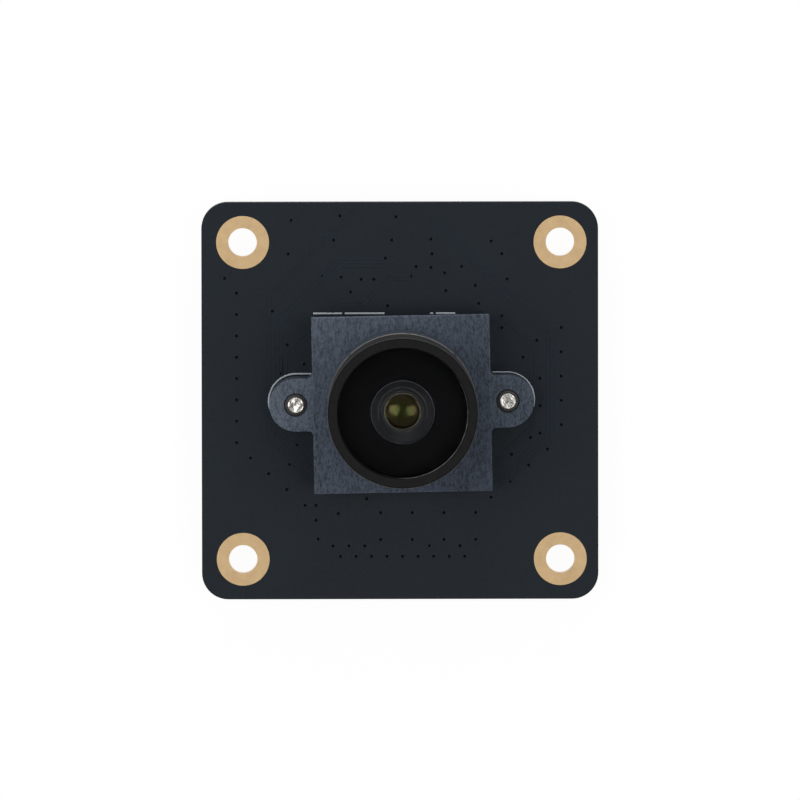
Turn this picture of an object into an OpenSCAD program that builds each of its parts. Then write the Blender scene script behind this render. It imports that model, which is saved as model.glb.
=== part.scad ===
// Board camera: a square circuit board that carries an image sensor, a metal
// lens holder and a screw-in wide-angle lens on its front, and the signal
// processor, its supply and a wire-to-board connector on its back.
// Millimetres. The origin is the centre of the four mounting holes on the
// board's back face; +Z is the optical axis, +X and +Y run along the board.

/* [Board] */
// Width of the circuit board along X
board_w = 37.5; // [35:0.5:45]
// Height of the circuit board along Y
board_l = 37.6; // [37.5:0.1:45]
// Thickness of the circuit board
board_t = 1.6; // [1:0.1:2.4]
// Distance that the board's outline lies off the mounting holes along X
board_shift = -0.15; // [-0.3:0.05:0.3]
// Radius of the board's corners
board_corner_r = 2.5; // [0.5:0.1:3.5]
// Distance between mounting-hole centres along X
hole_pitch_x = 30; // [28:0.5:31]
// Distance between mounting-hole centres along Y
hole_pitch_y = 30; // [28:0.5:31]
// Clear diameter of each plated mounting hole
hole_d = 2.7; // [2.2:0.1:3.2]
// Diameter of the gold-plated land around each mounting hole
land_d = 5; // [4.2:0.1:5.4]
// Thickness of the plating in and around the mounting holes
plating_t = 0.05; // [0.03:0.01:0.1]

/* [Lens holder] */
// Width of the holder's square block along X
holder_w = 16.8; // [15.5:0.1:18]
// Length of the holder's square block along Y
holder_l = 16.7; // [15.5:0.1:20]
// Height of the block's face above the board
holder_h = 6; // [5:0.1:8]
// Width of the bevel around the block's face
face_bevel = 0.12; // [0.05:0.01:0.3]
// Distance that the block's walls draw in from the face down to the board
wall_draft = 0.3; // [0:0.05:0.4]
// Distance between the centres of the two fixing ears
ear_pitch = 20; // [19.5:0.1:21]
// Radius of each ear
ear_r = 2.5; // [2.2:0.1:2.8]
// Height of the ears above the board
ear_h = 4.2; // [3.5:0.1:5]
// Radius of the fillet where an ear meets the block
ear_root_r = 0.45; // [0.2:0.05:0.8]
// Angle that the holder sits turned within its screw clearance
holder_twist = 1; // [-1:0.1:1]
// Thickness of the round neck's wall around the lens thread
neck_wall = 0.95; // [0.7:0.05:1.3]
// Height of the neck above the block's face
neck_h = 5.4; // [4.5:0.1:7]
// Thickness of the block's walls around the sensor chamber
holder_wall = 1.8; // [1.4:0.1:2.2]
// Radius of the chamber's corners
chamber_r = 1; // [0.5:0.1:2]
// Height of the chamber above the board
chamber_h = 4.2; // [3.9:0.1:4.4]

/* [Holder screws] */
// Nominal diameter of the screws
screw_d = 2; // [1.6:0.1:2]
// Length of the screws under the head
screw_l = 5.9; // [5:0.1:6.5]
// Diameter of the pan head
screw_head_d = 3.8; // [3.2:0.1:4.2]
// Height of the pan head
screw_head_h = 1.3; // [1:0.1:1.6]
// Radius that the screws lose where they taper to the cut tip
screw_tip_step = 0.27; // [0.2:0.01:0.4]
// Length of that taper
screw_tip_l = 0.6; // [0.3:0.05:0.9]
// Radial clearance of the screws in the board
screw_clearance = 0.2; // [0.18:0.01:0.3]
// Radial clearance that stands for the screw thread in the ears
screw_fit = 0.02; // [0.01:0.01:0.05]
// Depth of the countersink on each ear
ear_sink = 0.1; // [0.05:0.05:0.4]

/* [Lens barrel] */
// Major diameter of the lens thread
thread_d = 12; // [11.8:0.1:12.2]
// Radial running clearance of the lens thread
thread_fit = 0.04; // [0.02:0.01:0.08]
// Step from the thread out to the lens head
head_step = 1; // [0.7:0.05:1.7]
// Thickness of the head's wall around the front glass
head_wall = 0.65; // [0.5:0.05:0.8]
// Length of the lens head, with the front ring's flange
head_l = 8.8; // [8:0.1:11]
// Bevel around both ends of the lens head
head_bevel = 0.15; // [0.05:0.05:0.3]
// Gap between the lock ring and the back of the head
head_gap = 0.4; // [0.3:0.05:1]
// Distance from the board's front to the back end of the barrel
barrel_rise = 4; // [3.6:0.1:4.6]
// Thickness of the barrel's wall around the inner glasses
barrel_wall = 1.75; // [1.4:0.05:2]
// Step from the thread down to the plain nose at the back of the barrel
nose_step = 0.5; // [0.3:0.05:0.7]
// Length of the nose
nose_l = 1; // [0.8:0.1:2]

/* [Lock ring] */
// Height that the lock ring's rim stands out past the lens head
lock_proud = 0; // [-0.1:0.05:0.4]
// Thickness of the lock ring
lock_t = 1.9; // [1.5:0.1:2.5]
// Bevel around both faces of the lock ring
lock_bevel = 0.15; // [0.05:0.05:0.3]
// Width of each spanner notch
notch_w = 0.35; // [0.25:0.05:1]
// Depth of each spanner notch
notch_depth = 0.3; // [0.2:0.05:0.6]

/* [Front ring] */
// Width of the front ring's face
rim_w = 0.95; // [0.8:0.05:1.2]
// Thickness of the front ring's flange
flange_t = 0.8; // [0.5:0.1:1.2]
// Length of the front ring's threaded spigot
spigot_l = 0.8; // [0.5:0.1:1.2]
// Bevel on the edges of the front ring
ring_bevel = 0.1; // [0.05:0.01:0.15]

/* [Glass] */
// Thickness of the front glass at its edge
front_edge_t = 0.9; // [0.7:0.1:1.4]
// Radius of the front glass's domed surface
dome_r = 12.5; // [11.5:0.5:20]
// Diameter of the hollow in the back of the front glass
bowl_d = 5.9; // [5:0.1:6]
// Depth of that hollow
bowl_depth = 1.8; // [1.3:0.1:1.9]
// Radial clearance of the glass in the barrel
glass_fit = 0.05; // [0.02:0.01:0.08]
// Thickness of the barrel's shoulder behind the front glass
shoulder_t = 1; // [0.6:0.1:1.2]
// Thickness of the cone baffle
baffle_t = 0.6; // [0.4:0.1:1]
// Clear diameter of the cone baffle
baffle_d = 4.2; // [3.4:0.1:4.8]
// Width of the flat lip around the baffle's opening
baffle_lip = 0.25; // [0.15:0.05:0.35]
// Edge thickness of the second glass
second_t = 1; // [0.8:0.1:1.4]
// Thickness of the spacer behind the second glass
front_spacer_t = 1.6; // [1.4:0.1:2]
// Edge thickness of the third glass
third_t = 1.2; // [1:0.1:1.6]
// Thickness of the aperture stop
stop_t = 0.2; // [0.1:0.05:0.4]
// Clear diameter of the aperture stop
stop_d = 2.4; // [1.6:0.1:3]
// Thickness of the spacer behind the stop
middle_spacer_t = 1; // [0.8:0.1:1.4]
// Edge thickness of the doublet's front glass
crown_t = 1; // [0.8:0.1:1.4]
// Edge thickness of the doublet's back glass
flint_t = 1.3; // [1.1:0.1:1.8]
// Thickness of the spacer behind the doublet
rear_spacer_t = 1.3; // [1:0.1:1.8]
// Edge thickness of the last glass
rear_glass_t = 1.2; // [1:0.1:1.6]
// Thickness of the threaded ring that holds the glasses in
rear_ring_t = 1.4; // [1:0.1:2]
// Width of the rim that the spacers and the threaded ring cover
cell_rim = 0.9; // [0.7:0.05:1.2]
// Thickness of the nose's wall around the infrared-cut filter
filter_wall = 0.85; // [0.6:0.05:1]
// Thickness of the infrared-cut filter
filter_t = 0.3; // [0.2:0.05:0.5]
// Depth that the filter sits inside the back of the barrel
filter_inset = 0.25; // [0.1:0.05:0.5]

/* [Sensor] */
// Width of the sensor package along X
sensor_w = 11.4; // [9:0.1:12]
// Length of the sensor package along Y
sensor_l = 11.4; // [9:0.1:12]
// Thickness of the sensor package
sensor_t = 1.7; // [1.5:0.1:2]
// Width of the package's wall around the die well
sensor_wall = 1.5; // [1.2:0.1:1.8]
// Width of the floor left around the silicon die along X
die_margin_x = 0.5; // [0.3:0.05:1]
// Width of the floor left around the silicon die along Y
die_margin_y = 1.2; // [0.5:0.05:1.6]
// Thickness of the silicon die
die_t = 0.45; // [0.3:0.05:0.6]
// Thickness of the sensor's cover glass
window_t = 0.55; // [0.4:0.05:0.7]
// Solder castellations along each side of the package
castellations = 10; // [6:1:12]

/* [Processor] */
// Width of the processor's square body
cpu_w = 10; // [9:0.5:10]
// Thickness of the processor's body
cpu_t = 1.4; // [1:0.1:1.6]
// Leads along each side of the processor
cpu_leads = 16; // [12:1:16]
// Distance between neighbouring processor leads
cpu_pitch = 0.5; // [0.4:0.05:0.55]
// Distance of the processor's centre above the board's centre
cpu_y = 0.5; // [0:0.1:1.5]

/* [Connector] */
// Number of contacts in the connector
conn_ways = 9; // [4:1:9]
// Distance between neighbouring contacts
conn_pitch = 1.5; // [1.25:0.05:1.5]
// Height of the connector off the board's back
conn_h = 3.5; // [3.2:0.1:4.5]
// Depth of the connector's housing from its mouth to its back
conn_l = 5.6; // [5:0.1:6.5]
// Thickness of the connector's walls
conn_wall = 0.5; // [0.4:0.05:0.6]
// Distance of the connector's mouth inside the board's edge
conn_inset = 0.3; // [0:0.1:1]

/* [Back layout] */
// Clear strip between the board's side edges and the parts on its back
edge_clear = 3.8; // [3.6:0.1:4.2]
// Distance of the first regulator's centre from the board's upper edge
regulator_margin = 10.15; // [10:0.05:10.6]
// Distance between the centres of the two regulators in one column
regulator_step = 3.6; // [3.2:0.1:4]
// Distance of the lower regulator's centre from the board's lower edge
lower_regulator_margin = 12.35; // [12:0.05:12.6]
// Distance of the flash memory's centre from the board's upper edge
flash_margin = 11.35; // [11.2:0.05:12]
// Distance of the crystal's centre from the board's upper edge
crystal_margin = 9.35; // [9:0.05:9.6]
// Gap between the processor's lead feet and the row of chips beside it
row_gap = 0.6; // [0.4:0.1:0.8]
// Distance between neighbouring rows of chips
row_step = 1.9; // [1.6:0.1:2]

/* [Supply parts] */
// Width of the square power inductor
choke_w = 5; // [4.4:0.1:5.6]
// Height of the power inductor
choke_h = 3; // [2.6:0.1:3.4]
// Distance of the inductor's centre from the board's upper edge
choke_margin = 5.95; // [5.5:0.05:6.5]
// Length of the crystal's case
crystal_l = 3.2; // [2.5:0.1:3.2]
// Width of the crystal's case
crystal_w = 2.5; // [2:0.1:2.5]
// Height of the tantalum capacitors
tantalum_h = 1.8; // [1.2:0.1:2.2]
// Distance of the tantalum capacitors' centres from the board's upper edge
tantalum_margin = 5.55; // [5.2:0.05:6]
// Gap between the inductor and the tantalum capacitors
tantalum_gap = 2.3; // [2:0.1:2.6]

/* [Hidden] */

$fn = 96;
eps = 0.01;

// Heights of the front side, from the board's back face
board_top = board_t;
face_z = board_top + holder_h;
ear_z = board_top + ear_h;
neck_z = face_z + neck_h;
lock_z = neck_z + lock_t;
head_back_z = lock_z + head_gap;
lens_front_z = head_back_z + head_l;
head_top_z = lens_front_z - flange_t;
glass_edge_z = head_top_z - spigot_l;
seat_z = glass_edge_z - front_edge_t;
shoulder_z = seat_z - shoulder_t;
baffle_z = shoulder_z - baffle_t;
second_z = baffle_z - second_t;
front_spacer_z = second_z - front_spacer_t;
third_z = front_spacer_z - third_t;
stop_z = third_z - stop_t;
middle_spacer_z = stop_z - middle_spacer_t;
crown_z = middle_spacer_z - crown_t;
flint_z = crown_z - flint_t;
rear_spacer_z = flint_z - rear_spacer_t;
rear_glass_z = rear_spacer_z - rear_glass_t;
rear_ring_z = rear_glass_z - rear_ring_t;
barrel_z = board_top + barrel_rise;
filter_z = barrel_z + filter_inset;
filter_seat_z = filter_z + filter_t;

// Diameters that follow from each other
head_d = thread_d + 2 * head_step;
thread_bore_d = thread_d + 2 * thread_fit;
neck_d = thread_bore_d + 2 * neck_wall;
lock_d = head_d + 2 * lock_proud;
opening_d = head_d - 2 * rim_w;
front_bore_d = head_d - 2 * head_wall;
front_glass_d = front_bore_d - 2 * glass_fit;
nose_d = thread_d - 2 * nose_step;
cell_bore_d = thread_d - 2 * barrel_wall;
cell_d = cell_bore_d - 2 * glass_fit;
cell_clear_d = cell_d - 2 * cell_rim;
filter_bore_d = nose_d - 2 * filter_wall;
filter_d = filter_bore_d - 2 * glass_fit;
shoulder_d = bowl_d + 0.1;
bowl_r = (bowl_d * bowl_d / 4 + bowl_depth * bowl_depth) / (2 * bowl_depth);
screw_tip_d = screw_d - 2 * screw_tip_step;

// Plan of the sensor chamber
chamber_w = holder_w - 2 * holder_wall;
chamber_l = holder_l - 2 * holder_wall;

// Radii of the inner glasses' surfaces and of the rim flat around them
second_front_r = 9;
second_back_r = 3.6;
third_front_r = 6;
third_back_r = 9;
crown_front_r = 7;
cement_r = 5;
flint_back_r = 8;
rear_front_r = 6;
rear_back_r = 10;
clear_r = cell_clear_d / 2;
second_hollow_r = 2.4;

// Chip leads
lead_t = 0.15;
standoff = 0.1;
cpu_lead_w = 0.22;
cpu_lead_reach = 1;

// Connector
conn_w = (conn_ways - 1) * conn_pitch + 3;
conn_mouth_y = conn_inset - board_l / 2;
conn_back_y = conn_mouth_y + conn_l;
conn_slot_h = conn_h - 2 * conn_wall;
conn_floor_t = 0.9;
pin_w = 0.4;
pin_t = 0.3;
pin_z = -conn_h / 2;
pin_back_y = conn_back_y + 0.15;
pin_foot_y = pin_back_y + pin_t + 0.9;

// Packages on the back
flash_w = 3.9;
flash_l = 4.9;
flash_t = 1.45;
flash_pitch = 1.27;
flash_reach = 1.05;
flash_lead_w = 0.4;
regulator_w = 1.6;
regulator_l = 2.9;
regulator_t = 1.05;
regulator_pitch = 0.95;
regulator_reach = 0.6;
regulator_lead_w = 0.36;
tantalum_w = 2.8;
tantalum_l = 3.5;
tantalum_clip = 0.12;
crystal_base_t = 0.4;
crystal_lid_t = 0.35;
crystal_rim = 0.15;
part_gap = 0.85;

// Places of the packages on the back: x, y, turn about Z
upper_y = board_l / 2;
lower_y = -board_l / 2;
side_x = board_w / 2 - edge_clear;
regulator_x = side_x - regulator_l / 2;
regulator_places = [
    [regulator_x, upper_y - regulator_margin, 90],
    [regulator_x, upper_y - regulator_margin - regulator_step, 90],
    [-regulator_x, lower_y + lower_regulator_margin, 90]
];
tantalum_x = choke_w / 2 + tantalum_gap + tantalum_w / 2;
tantalum_places = [for (s = [-1, 1]) [s * tantalum_x, upper_y - tantalum_margin, 90]];
choke_place = [0, upper_y - choke_margin, 0];
cpu_place = [0, cpu_y, 0];
flash_place = [flash_l / 2 - side_x, upper_y - flash_margin, 90];
crystal_x = side_x - regulator_l - part_gap - crystal_l / 2;
crystal_place = [crystal_x, upper_y - crystal_margin, 90];

// ---------- shared shapes ----------

// Rectangle with true round corners, centred
module rounded_rect(w, l, r) {
    square([w - 2 * r, l], center = true);
    square([w, l - 2 * r], center = true);
    for (sx = [-1, 1], sy = [-1, 1])
        translate([sx * (w / 2 - r), sy * (l / 2 - r)])
            circle(r);
}

// Turned piece from its half section
module turned(section) {
    rotate_extrude()
        polygon(section);
}

// Flat ring from z0 to z1
module washer(d_out, d_in, z0, z1) {
    translate([0, 0, z0])
        difference() {
            cylinder(d = d_out, h = z1 - z0);
            translate([0, 0, -eps])
                cylinder(d = d_in, h = z1 - z0 + 2 * eps);
        }
}

// Puts a part that is drawn standing on z = 0 under the board
module on_back(place) {
    translate([place[0], place[1], 0])
        rotate([180, 0, place[2]])
            children();
}

// Height of a spherical surface's edge, r away from its axis
function sag(surface_r, r) = surface_r - sqrt(surface_r * surface_r - r * r);

// Places at equal steps, centred on zero
function spread(count, pitch) = [for (i = [0 : count - 1]) (i - (count - 1) / 2) * pitch];

// Centre lines of as many rows of chips as fit between y0 and y1
function rows_between(y0, y1) =
    let (count = floor(abs(y1 - y0) / row_step), step = (y1 - y0) / count)
    [for (i = [0 : 1 : count - 1]) y0 + (i + 0.5) * step];

// ---------- board ----------

module at_mounting_holes() {
    for (sx = [-1, 1], sy = [-1, 1])
        translate([sx * hole_pitch_x / 2, sy * hole_pitch_y / 2, 0])
            children();
}

module board() {
    color("#22262c")
        difference() {
            translate([board_shift, 0, 0])
                linear_extrude(board_t)
                    rounded_rect(board_w, board_l, board_corner_r);
            at_mounting_holes()
                translate([0, 0, -eps])
                    cylinder(d = hole_d + 2 * plating_t, h = board_t + 2 * eps);
            for (s = [-1, 1])
                translate([s * ear_pitch / 2, 0, -eps])
                    cylinder(d = screw_d + 2 * screw_clearance, h = board_t + 2 * eps);
        }
}

// One gold-plated hole: a thin tube with a land on each face of the board
module plated_hole() {
    turned([
        [hole_d / 2, -plating_t],
        [land_d / 2, -plating_t],
        [land_d / 2, 0],
        [hole_d / 2 + plating_t, 0],
        [hole_d / 2 + plating_t, board_t],
        [land_d / 2, board_t],
        [land_d / 2, board_t + plating_t],
        [hole_d / 2, board_t + plating_t]
    ]);
}

module plated_holes() {
    color("#d2b483")
        at_mounting_holes()
            plated_hole();
}

// ---------- sensor ----------

well_w = sensor_w - 2 * sensor_wall;
well_l = sensor_l - 2 * sensor_wall;
ledge = 0.5;
well_floor = 0.5;
die_w = well_w - 2 * ledge - 2 * die_margin_x;
die_l = well_l - 2 * ledge - 2 * die_margin_y;

module castellation_row(length, offset) {
    pitch = length / (castellations + 1);
    for (x = spread(castellations, pitch))
        translate([x, offset, -eps])
            cylinder(r = pitch / 4, h = sensor_t + 2 * eps, $fn = 24);
}

// Ceramic carrier with solder notches around it and a stepped well for die and glass
module sensor_package() {
    color("#3a3330")
        translate([0, 0, board_top])
            difference() {
                linear_extrude(sensor_t)
                    square([sensor_w, sensor_l], center = true);
                translate([0, 0, well_floor])
                    linear_extrude(sensor_t)
                        square([well_w - 2 * ledge, well_l - 2 * ledge], center = true);
                translate([0, 0, sensor_t - window_t])
                    linear_extrude(sensor_t)
                        square([well_w, well_l], center = true);
                for (s = [-1, 1]) {
                    castellation_row(sensor_w, s * sensor_l / 2);
                    rotate([0, 0, 90])
                        castellation_row(sensor_l, s * sensor_w / 2);
                }
            }
}

module sensor_die() {
    color("#4b5a66")
        translate([0, 0, board_top + well_floor])
            linear_extrude(die_t)
                square([die_w, die_l], center = true);
}

module sensor_window() {
    color("#b8ccd6", 0.5)
        translate([0, 0, board_top + sensor_t - window_t])
            linear_extrude(window_t)
                square([well_w - 2 * glass_fit, well_l - 2 * glass_fit], center = true);
}

// ---------- lens holder ----------

// Concave fillet between two faces that meet at the origin
module root_fillet(r) {
    difference() {
        square(r);
        translate([r, r])
            circle(r, $fn = 32);
    }
}

// Plan of an ear, which reaches back under the block's face to the drawn-in wall
module ear_outline() {
    reach = wall_draft + eps;
    translate([ear_pitch / 2, 0])
        circle(ear_r);
    translate([holder_w / 2 - reach, -ear_r])
        square([(ear_pitch - holder_w) / 2 + reach, 2 * ear_r]);
    translate([holder_w / 2 - reach, -ear_r - ear_root_r])
        square([reach, 2 * (ear_r + ear_root_r)]);
    for (s = [0, 1])
        mirror([0, s])
            translate([holder_w / 2, ear_r])
                root_fillet(ear_root_r);
}

// Long cutter that takes the corner off one edge of the block's face
module edge_cutter(length) {
    rotate([0, 45, 0])
        cube([face_bevel * sqrt(2), length + 1, face_bevel * sqrt(2)], center = true);
}

module holder_block() {
    foot_w = holder_w - 2 * wall_draft;
    foot_l = holder_l - 2 * wall_draft;
    difference() {
        translate([0, 0, board_top])
            linear_extrude(holder_h, scale = [holder_w / foot_w, holder_l / foot_l], slices = 1, $fn = 4)
                square([foot_w, foot_l], center = true);
        for (s = [-1, 1]) {
            translate([s * holder_w / 2, 0, face_z])
                edge_cutter(holder_l);
            translate([0, s * holder_l / 2, face_z])
                rotate([0, 0, 90])
                    edge_cutter(holder_w);
        }
    }
}

// Threaded hole through an ear, with a countersink at its mouth
module ear_hole() {
    hole_r = screw_d / 2 + screw_fit;
    turned([
        [0, board_top - eps],
        [hole_r, board_top - eps],
        [hole_r, ear_z - ear_sink],
        [hole_r + ear_sink + eps, ear_z + eps],
        [0, ear_z + eps]
    ]);
}

module lens_holder() {
    neck_r = neck_d / 2;
    bore_r = thread_bore_d / 2;
    rim_bevel = (neck_r - bore_r) / 4;
    color("#6a6f78")
        rotate([0, 0, holder_twist])
            difference() {
                union() {
                    holder_block();
                    for (s = [0, 1])
                        mirror([s, 0, 0])
                            translate([0, 0, board_top])
                                linear_extrude(ear_h)
                                    ear_outline();
                    turned([
                        [0, face_z - face_bevel],
                        [neck_r, face_z - face_bevel],
                        [neck_r, neck_z - rim_bevel],
                        [neck_r - rim_bevel, neck_z],
                        [0, neck_z]
                    ]);
                }
                translate([0, 0, board_top - eps])
                    linear_extrude(chamber_h + eps)
                        rounded_rect(chamber_w, chamber_l, chamber_r);
                turned([
                    [0, board_top + chamber_h - eps],
                    [bore_r, board_top + chamber_h - eps],
                    [bore_r, neck_z - rim_bevel],
                    [bore_r + rim_bevel + eps, neck_z + eps],
                    [0, neck_z + eps]
                ]);
                for (s = [-1, 1])
                    translate([s * ear_pitch / 2, 0, 0])
                        ear_hole();
            }
}

// Cross recess in a screw head, drawn downwards from z = 0
module cross_recess(span, depth) {
    for (a = [0, 90])
        rotate([0, 0, a])
            translate([-span / 2, -span / 10, -depth])
                cube([span, span / 5, depth + eps]);
    translate([0, 0, -depth * 1.2])
        cylinder(r1 = span / 10, r2 = span / 4, h = depth * 1.2 + eps);
}

// Pan-head screw, head down below the board and cut tip up
module holder_screw() {
    shank_r = screw_d / 2;
    head_r = screw_head_d / 2;
    tip_r = screw_tip_d / 2;
    shoulder_r = head_r * 0.55;
    difference() {
        turned([
            [0, -screw_head_h],
            [shoulder_r, -screw_head_h],
            [head_r * 0.86, -screw_head_h * 0.8],
            [head_r, -screw_head_h * 0.45],
            [head_r, 0],
            [shank_r, 0],
            [shank_r, screw_l - screw_tip_l],
            [tip_r, screw_l],
            [0, screw_l]
        ]);
        translate([0, 0, -screw_head_h])
            mirror([0, 0, 1])
                cross_recess(screw_head_d * 0.55, screw_head_h * 0.5);
    }
}

module holder_screws() {
    color("#d8d8d4")
        rotate([0, 0, holder_twist])
            for (s = [-1, 1])
                translate([s * ear_pitch / 2, 0, 0])
                    holder_screw();
}

// ---------- lens ----------

module lens_barrel() {
    thread_r = thread_d / 2;
    nose_r = nose_d / 2;
    head_r = head_d / 2;
    nose_top_z = barrel_z + nose_l;
    runout = thread_r - nose_r;
    relief_r = thread_r - 0.3;
    relief_z = lock_z + head_gap / 4;
    groove_z = head_back_z + head_l * 0.62;
    groove_w = 0.5;
    groove_depth = 0.15;
    color("#2b2b2e")
        turned([
            [filter_bore_d / 2, barrel_z],
            [nose_r - head_bevel, barrel_z],
            [nose_r, barrel_z + head_bevel],
            [nose_r, nose_top_z],
            [thread_r, nose_top_z + runout],
            [thread_r, relief_z],
            [relief_r, relief_z],
            [relief_r, head_back_z],
            [head_r - head_bevel, head_back_z],
            [head_r, head_back_z + head_bevel],
            [head_r, groove_z],
            [head_r - groove_depth, groove_z],
            [head_r - groove_depth, groove_z + groove_w],
            [head_r, groove_z + groove_w],
            [head_r, head_top_z],
            [front_bore_d / 2, head_top_z],
            [front_bore_d / 2, seat_z],
            [shoulder_d / 2, seat_z],
            [shoulder_d / 2, shoulder_z],
            [cell_bore_d / 2, shoulder_z],
            [cell_bore_d / 2, filter_seat_z],
            [filter_bore_d / 2, filter_seat_z]
        ]);
}

// Jam ring on the lens thread, with four notches for a pin spanner
module lock_ring() {
    outer_r = lock_d / 2;
    inner_r = thread_bore_d / 2;
    color("#7c7a78")
        difference() {
            turned([
                [inner_r + lock_bevel, neck_z],
                [outer_r - lock_bevel, neck_z],
                [outer_r, neck_z + lock_bevel],
                [outer_r, lock_z - lock_bevel],
                [outer_r - lock_bevel, lock_z],
                [inner_r + lock_bevel, lock_z],
                [inner_r, lock_z - lock_bevel],
                [inner_r, neck_z + lock_bevel]
            ]);
            for (a = [45 : 90 : 315])
                rotate([0, 0, a])
                    translate([outer_r - notch_depth, -notch_w / 2, neck_z - eps])
                        cube([notch_depth + 1, notch_w, lock_t + 2 * eps]);
        }
}

// Flanged ring that screws into the head and clamps the front glass
module front_ring() {
    flange_r = head_d / 2;
    spigot_r = front_bore_d / 2 - 0.02;
    opening_r = opening_d / 2;
    color("#222225")
        turned([
            [opening_r, glass_edge_z],
            [spigot_r, glass_edge_z],
            [spigot_r, head_top_z],
            [flange_r, head_top_z],
            [flange_r, lens_front_z - ring_bevel],
            [flange_r - ring_bevel, lens_front_z],
            [opening_r + ring_bevel, lens_front_z],
            [opening_r, lens_front_z - ring_bevel]
        ]);
}

// Domed front glass, hollow behind
module front_glass() {
    opening_r = opening_d / 2;
    dome_edge_r = opening_r - 0.05;
    dome_centre_z = glass_edge_z - dome_r + sag(dome_r, dome_edge_r);
    bowl_centre_z = seat_z + bowl_depth - bowl_r;
    color("#9fb4bd", 0.4)
        difference() {
            union() {
                translate([0, 0, seat_z])
                    cylinder(d = front_glass_d, h = front_edge_t);
                intersection() {
                    translate([0, 0, seat_z])
                        cylinder(r = dome_edge_r, h = front_edge_t + dome_r);
                    translate([0, 0, dome_centre_z])
                        sphere(dome_r);
                }
            }
            translate([0, 0, bowl_centre_z])
                sphere(bowl_r);
        }
}

// Cone that ends in a flat lip, a step below it
module cone_baffle() {
    baffle_r = baffle_d / 2;
    color("#1c1f26")
        turned([
            [baffle_r, baffle_z],
            [cell_d / 2, baffle_z],
            [cell_d / 2, shoulder_z],
            [shoulder_d / 2, shoulder_z],
            [baffle_r + baffle_lip, baffle_z + baffle_t * 0.45],
            [baffle_r + baffle_lip, baffle_z + baffle_t * 0.2],
            [baffle_r, baffle_z + baffle_t * 0.2]
        ]);
}

// Glass that bulges on both sides, from z0 to z1 at its edge
module convex_glass(z0, z1, front_r, back_r) {
    rise = sag(front_r, clear_r);
    drop = sag(back_r, clear_r);
    translate([0, 0, z0])
        cylinder(d = cell_d, h = z1 - z0);
    intersection() {
        translate([0, 0, z0 - drop])
            cylinder(r = clear_r, h = z1 - z0 + rise + drop);
        translate([0, 0, z1 + rise - front_r])
            sphere(front_r);
        translate([0, 0, z0 - drop + back_r])
            sphere(back_r);
    }
}

// Meniscus: slightly domed in front, deeply hollow behind
module second_glass() {
    front_clear_r = baffle_d / 2 - 0.1;
    color("#a9c1b0", 0.4)
        difference() {
            union() {
                translate([0, 0, second_z])
                    cylinder(d = cell_d, h = second_t);
                intersection() {
                    translate([0, 0, second_z])
                        cylinder(r = front_clear_r, h = second_t * 2);
                    translate([0, 0, baffle_z + sag(second_front_r, front_clear_r) - second_front_r])
                        sphere(second_front_r);
                }
            }
            translate([0, 0, second_z - second_back_r + sag(second_back_r, second_hollow_r)])
                sphere(second_back_r);
        }
}

module front_spacer() {
    color("#1c1f26")
        washer(cell_d, cell_clear_d, front_spacer_z, second_z);
}

module third_glass() {
    color("#b6bfa0", 0.4)
        intersection() {
            convex_glass(third_z, front_spacer_z, third_front_r, third_back_r);
            translate([0, 0, third_z])
                cylinder(d = cell_d, h = front_spacer_t + third_t);
        }
}

module aperture_stop() {
    color("#141416")
        washer(cell_d, stop_d, stop_z, third_z);
}

module middle_spacer() {
    color("#1c1f26")
        washer(cell_d, cell_clear_d, middle_spacer_z, stop_z);
}

// Front half of the cemented doublet
module doublet_crown() {
    rise = sag(crown_front_r, clear_r);
    color("#a9bcc6", 0.4)
        difference() {
            union() {
                translate([0, 0, crown_z])
                    cylinder(d = cell_d, h = crown_t);
                intersection() {
                    translate([0, 0, crown_z])
                        cylinder(r = clear_r, h = crown_t + rise);
                    translate([0, 0, middle_spacer_z + rise - crown_front_r])
                        sphere(crown_front_r);
                }
            }
            translate([0, 0, crown_z + sag(cement_r, clear_r) - cement_r])
                sphere(cement_r);
        }
}

module doublet_flint() {
    color("#a2b2bd", 0.4)
        difference() {
            union() {
                translate([0, 0, flint_z])
                    cylinder(d = cell_d, h = flint_t);
                intersection() {
                    translate([0, 0, flint_z])
                        cylinder(r = clear_r, h = flint_t + cement_r);
                    translate([0, 0, crown_z + sag(cement_r, clear_r) - cement_r])
                        sphere(cement_r);
                }
            }
            translate([0, 0, flint_z - flint_back_r + sag(flint_back_r, clear_r)])
                sphere(flint_back_r);
        }
}

module rear_spacer() {
    color("#1c1f26")
        washer(cell_d, cell_clear_d, rear_spacer_z, flint_z);
}

module rear_glass() {
    color("#9fb4bd", 0.4)
        convex_glass(rear_glass_z, rear_spacer_z, rear_front_r, rear_back_r);
}

// Threaded ring with two slots for the assembly key
module rear_ring() {
    slot_w = 0.8;
    color("#232326")
        difference() {
            washer(cell_d, cell_clear_d, rear_ring_z, rear_glass_z);
            translate([-cell_d / 2 - eps, -slot_w / 2, rear_ring_z - eps])
                cube([cell_d + 2 * eps, slot_w, rear_ring_t / 3]);
        }
}

module infrared_filter() {
    color("#8fc2b8", 0.5)
        translate([0, 0, filter_z])
            cylinder(d = filter_d, h = filter_t);
}

// ---------- chips ----------

// Moulded body that tapers above and below a straight band level with its leads
module moulded_body(w, l, t) {
    half = (t - lead_t) / 2;
    draft = 0.12;
    taper = [(w - 2 * draft) / w, (l - 2 * draft) / l];
    band_z = standoff + half;
    translate([0, 0, band_z])
        linear_extrude(lead_t)
            square([w, l], center = true);
    translate([0, 0, band_z + lead_t])
        linear_extrude(half, scale = taper, slices = 1, $fn = 4)
            square([w, l], center = true);
    translate([0, 0, band_z])
        mirror([0, 0, 1])
            linear_extrude(half, scale = taper, slices = 1, $fn = 4)
                square([w, l], center = true);
}

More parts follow.
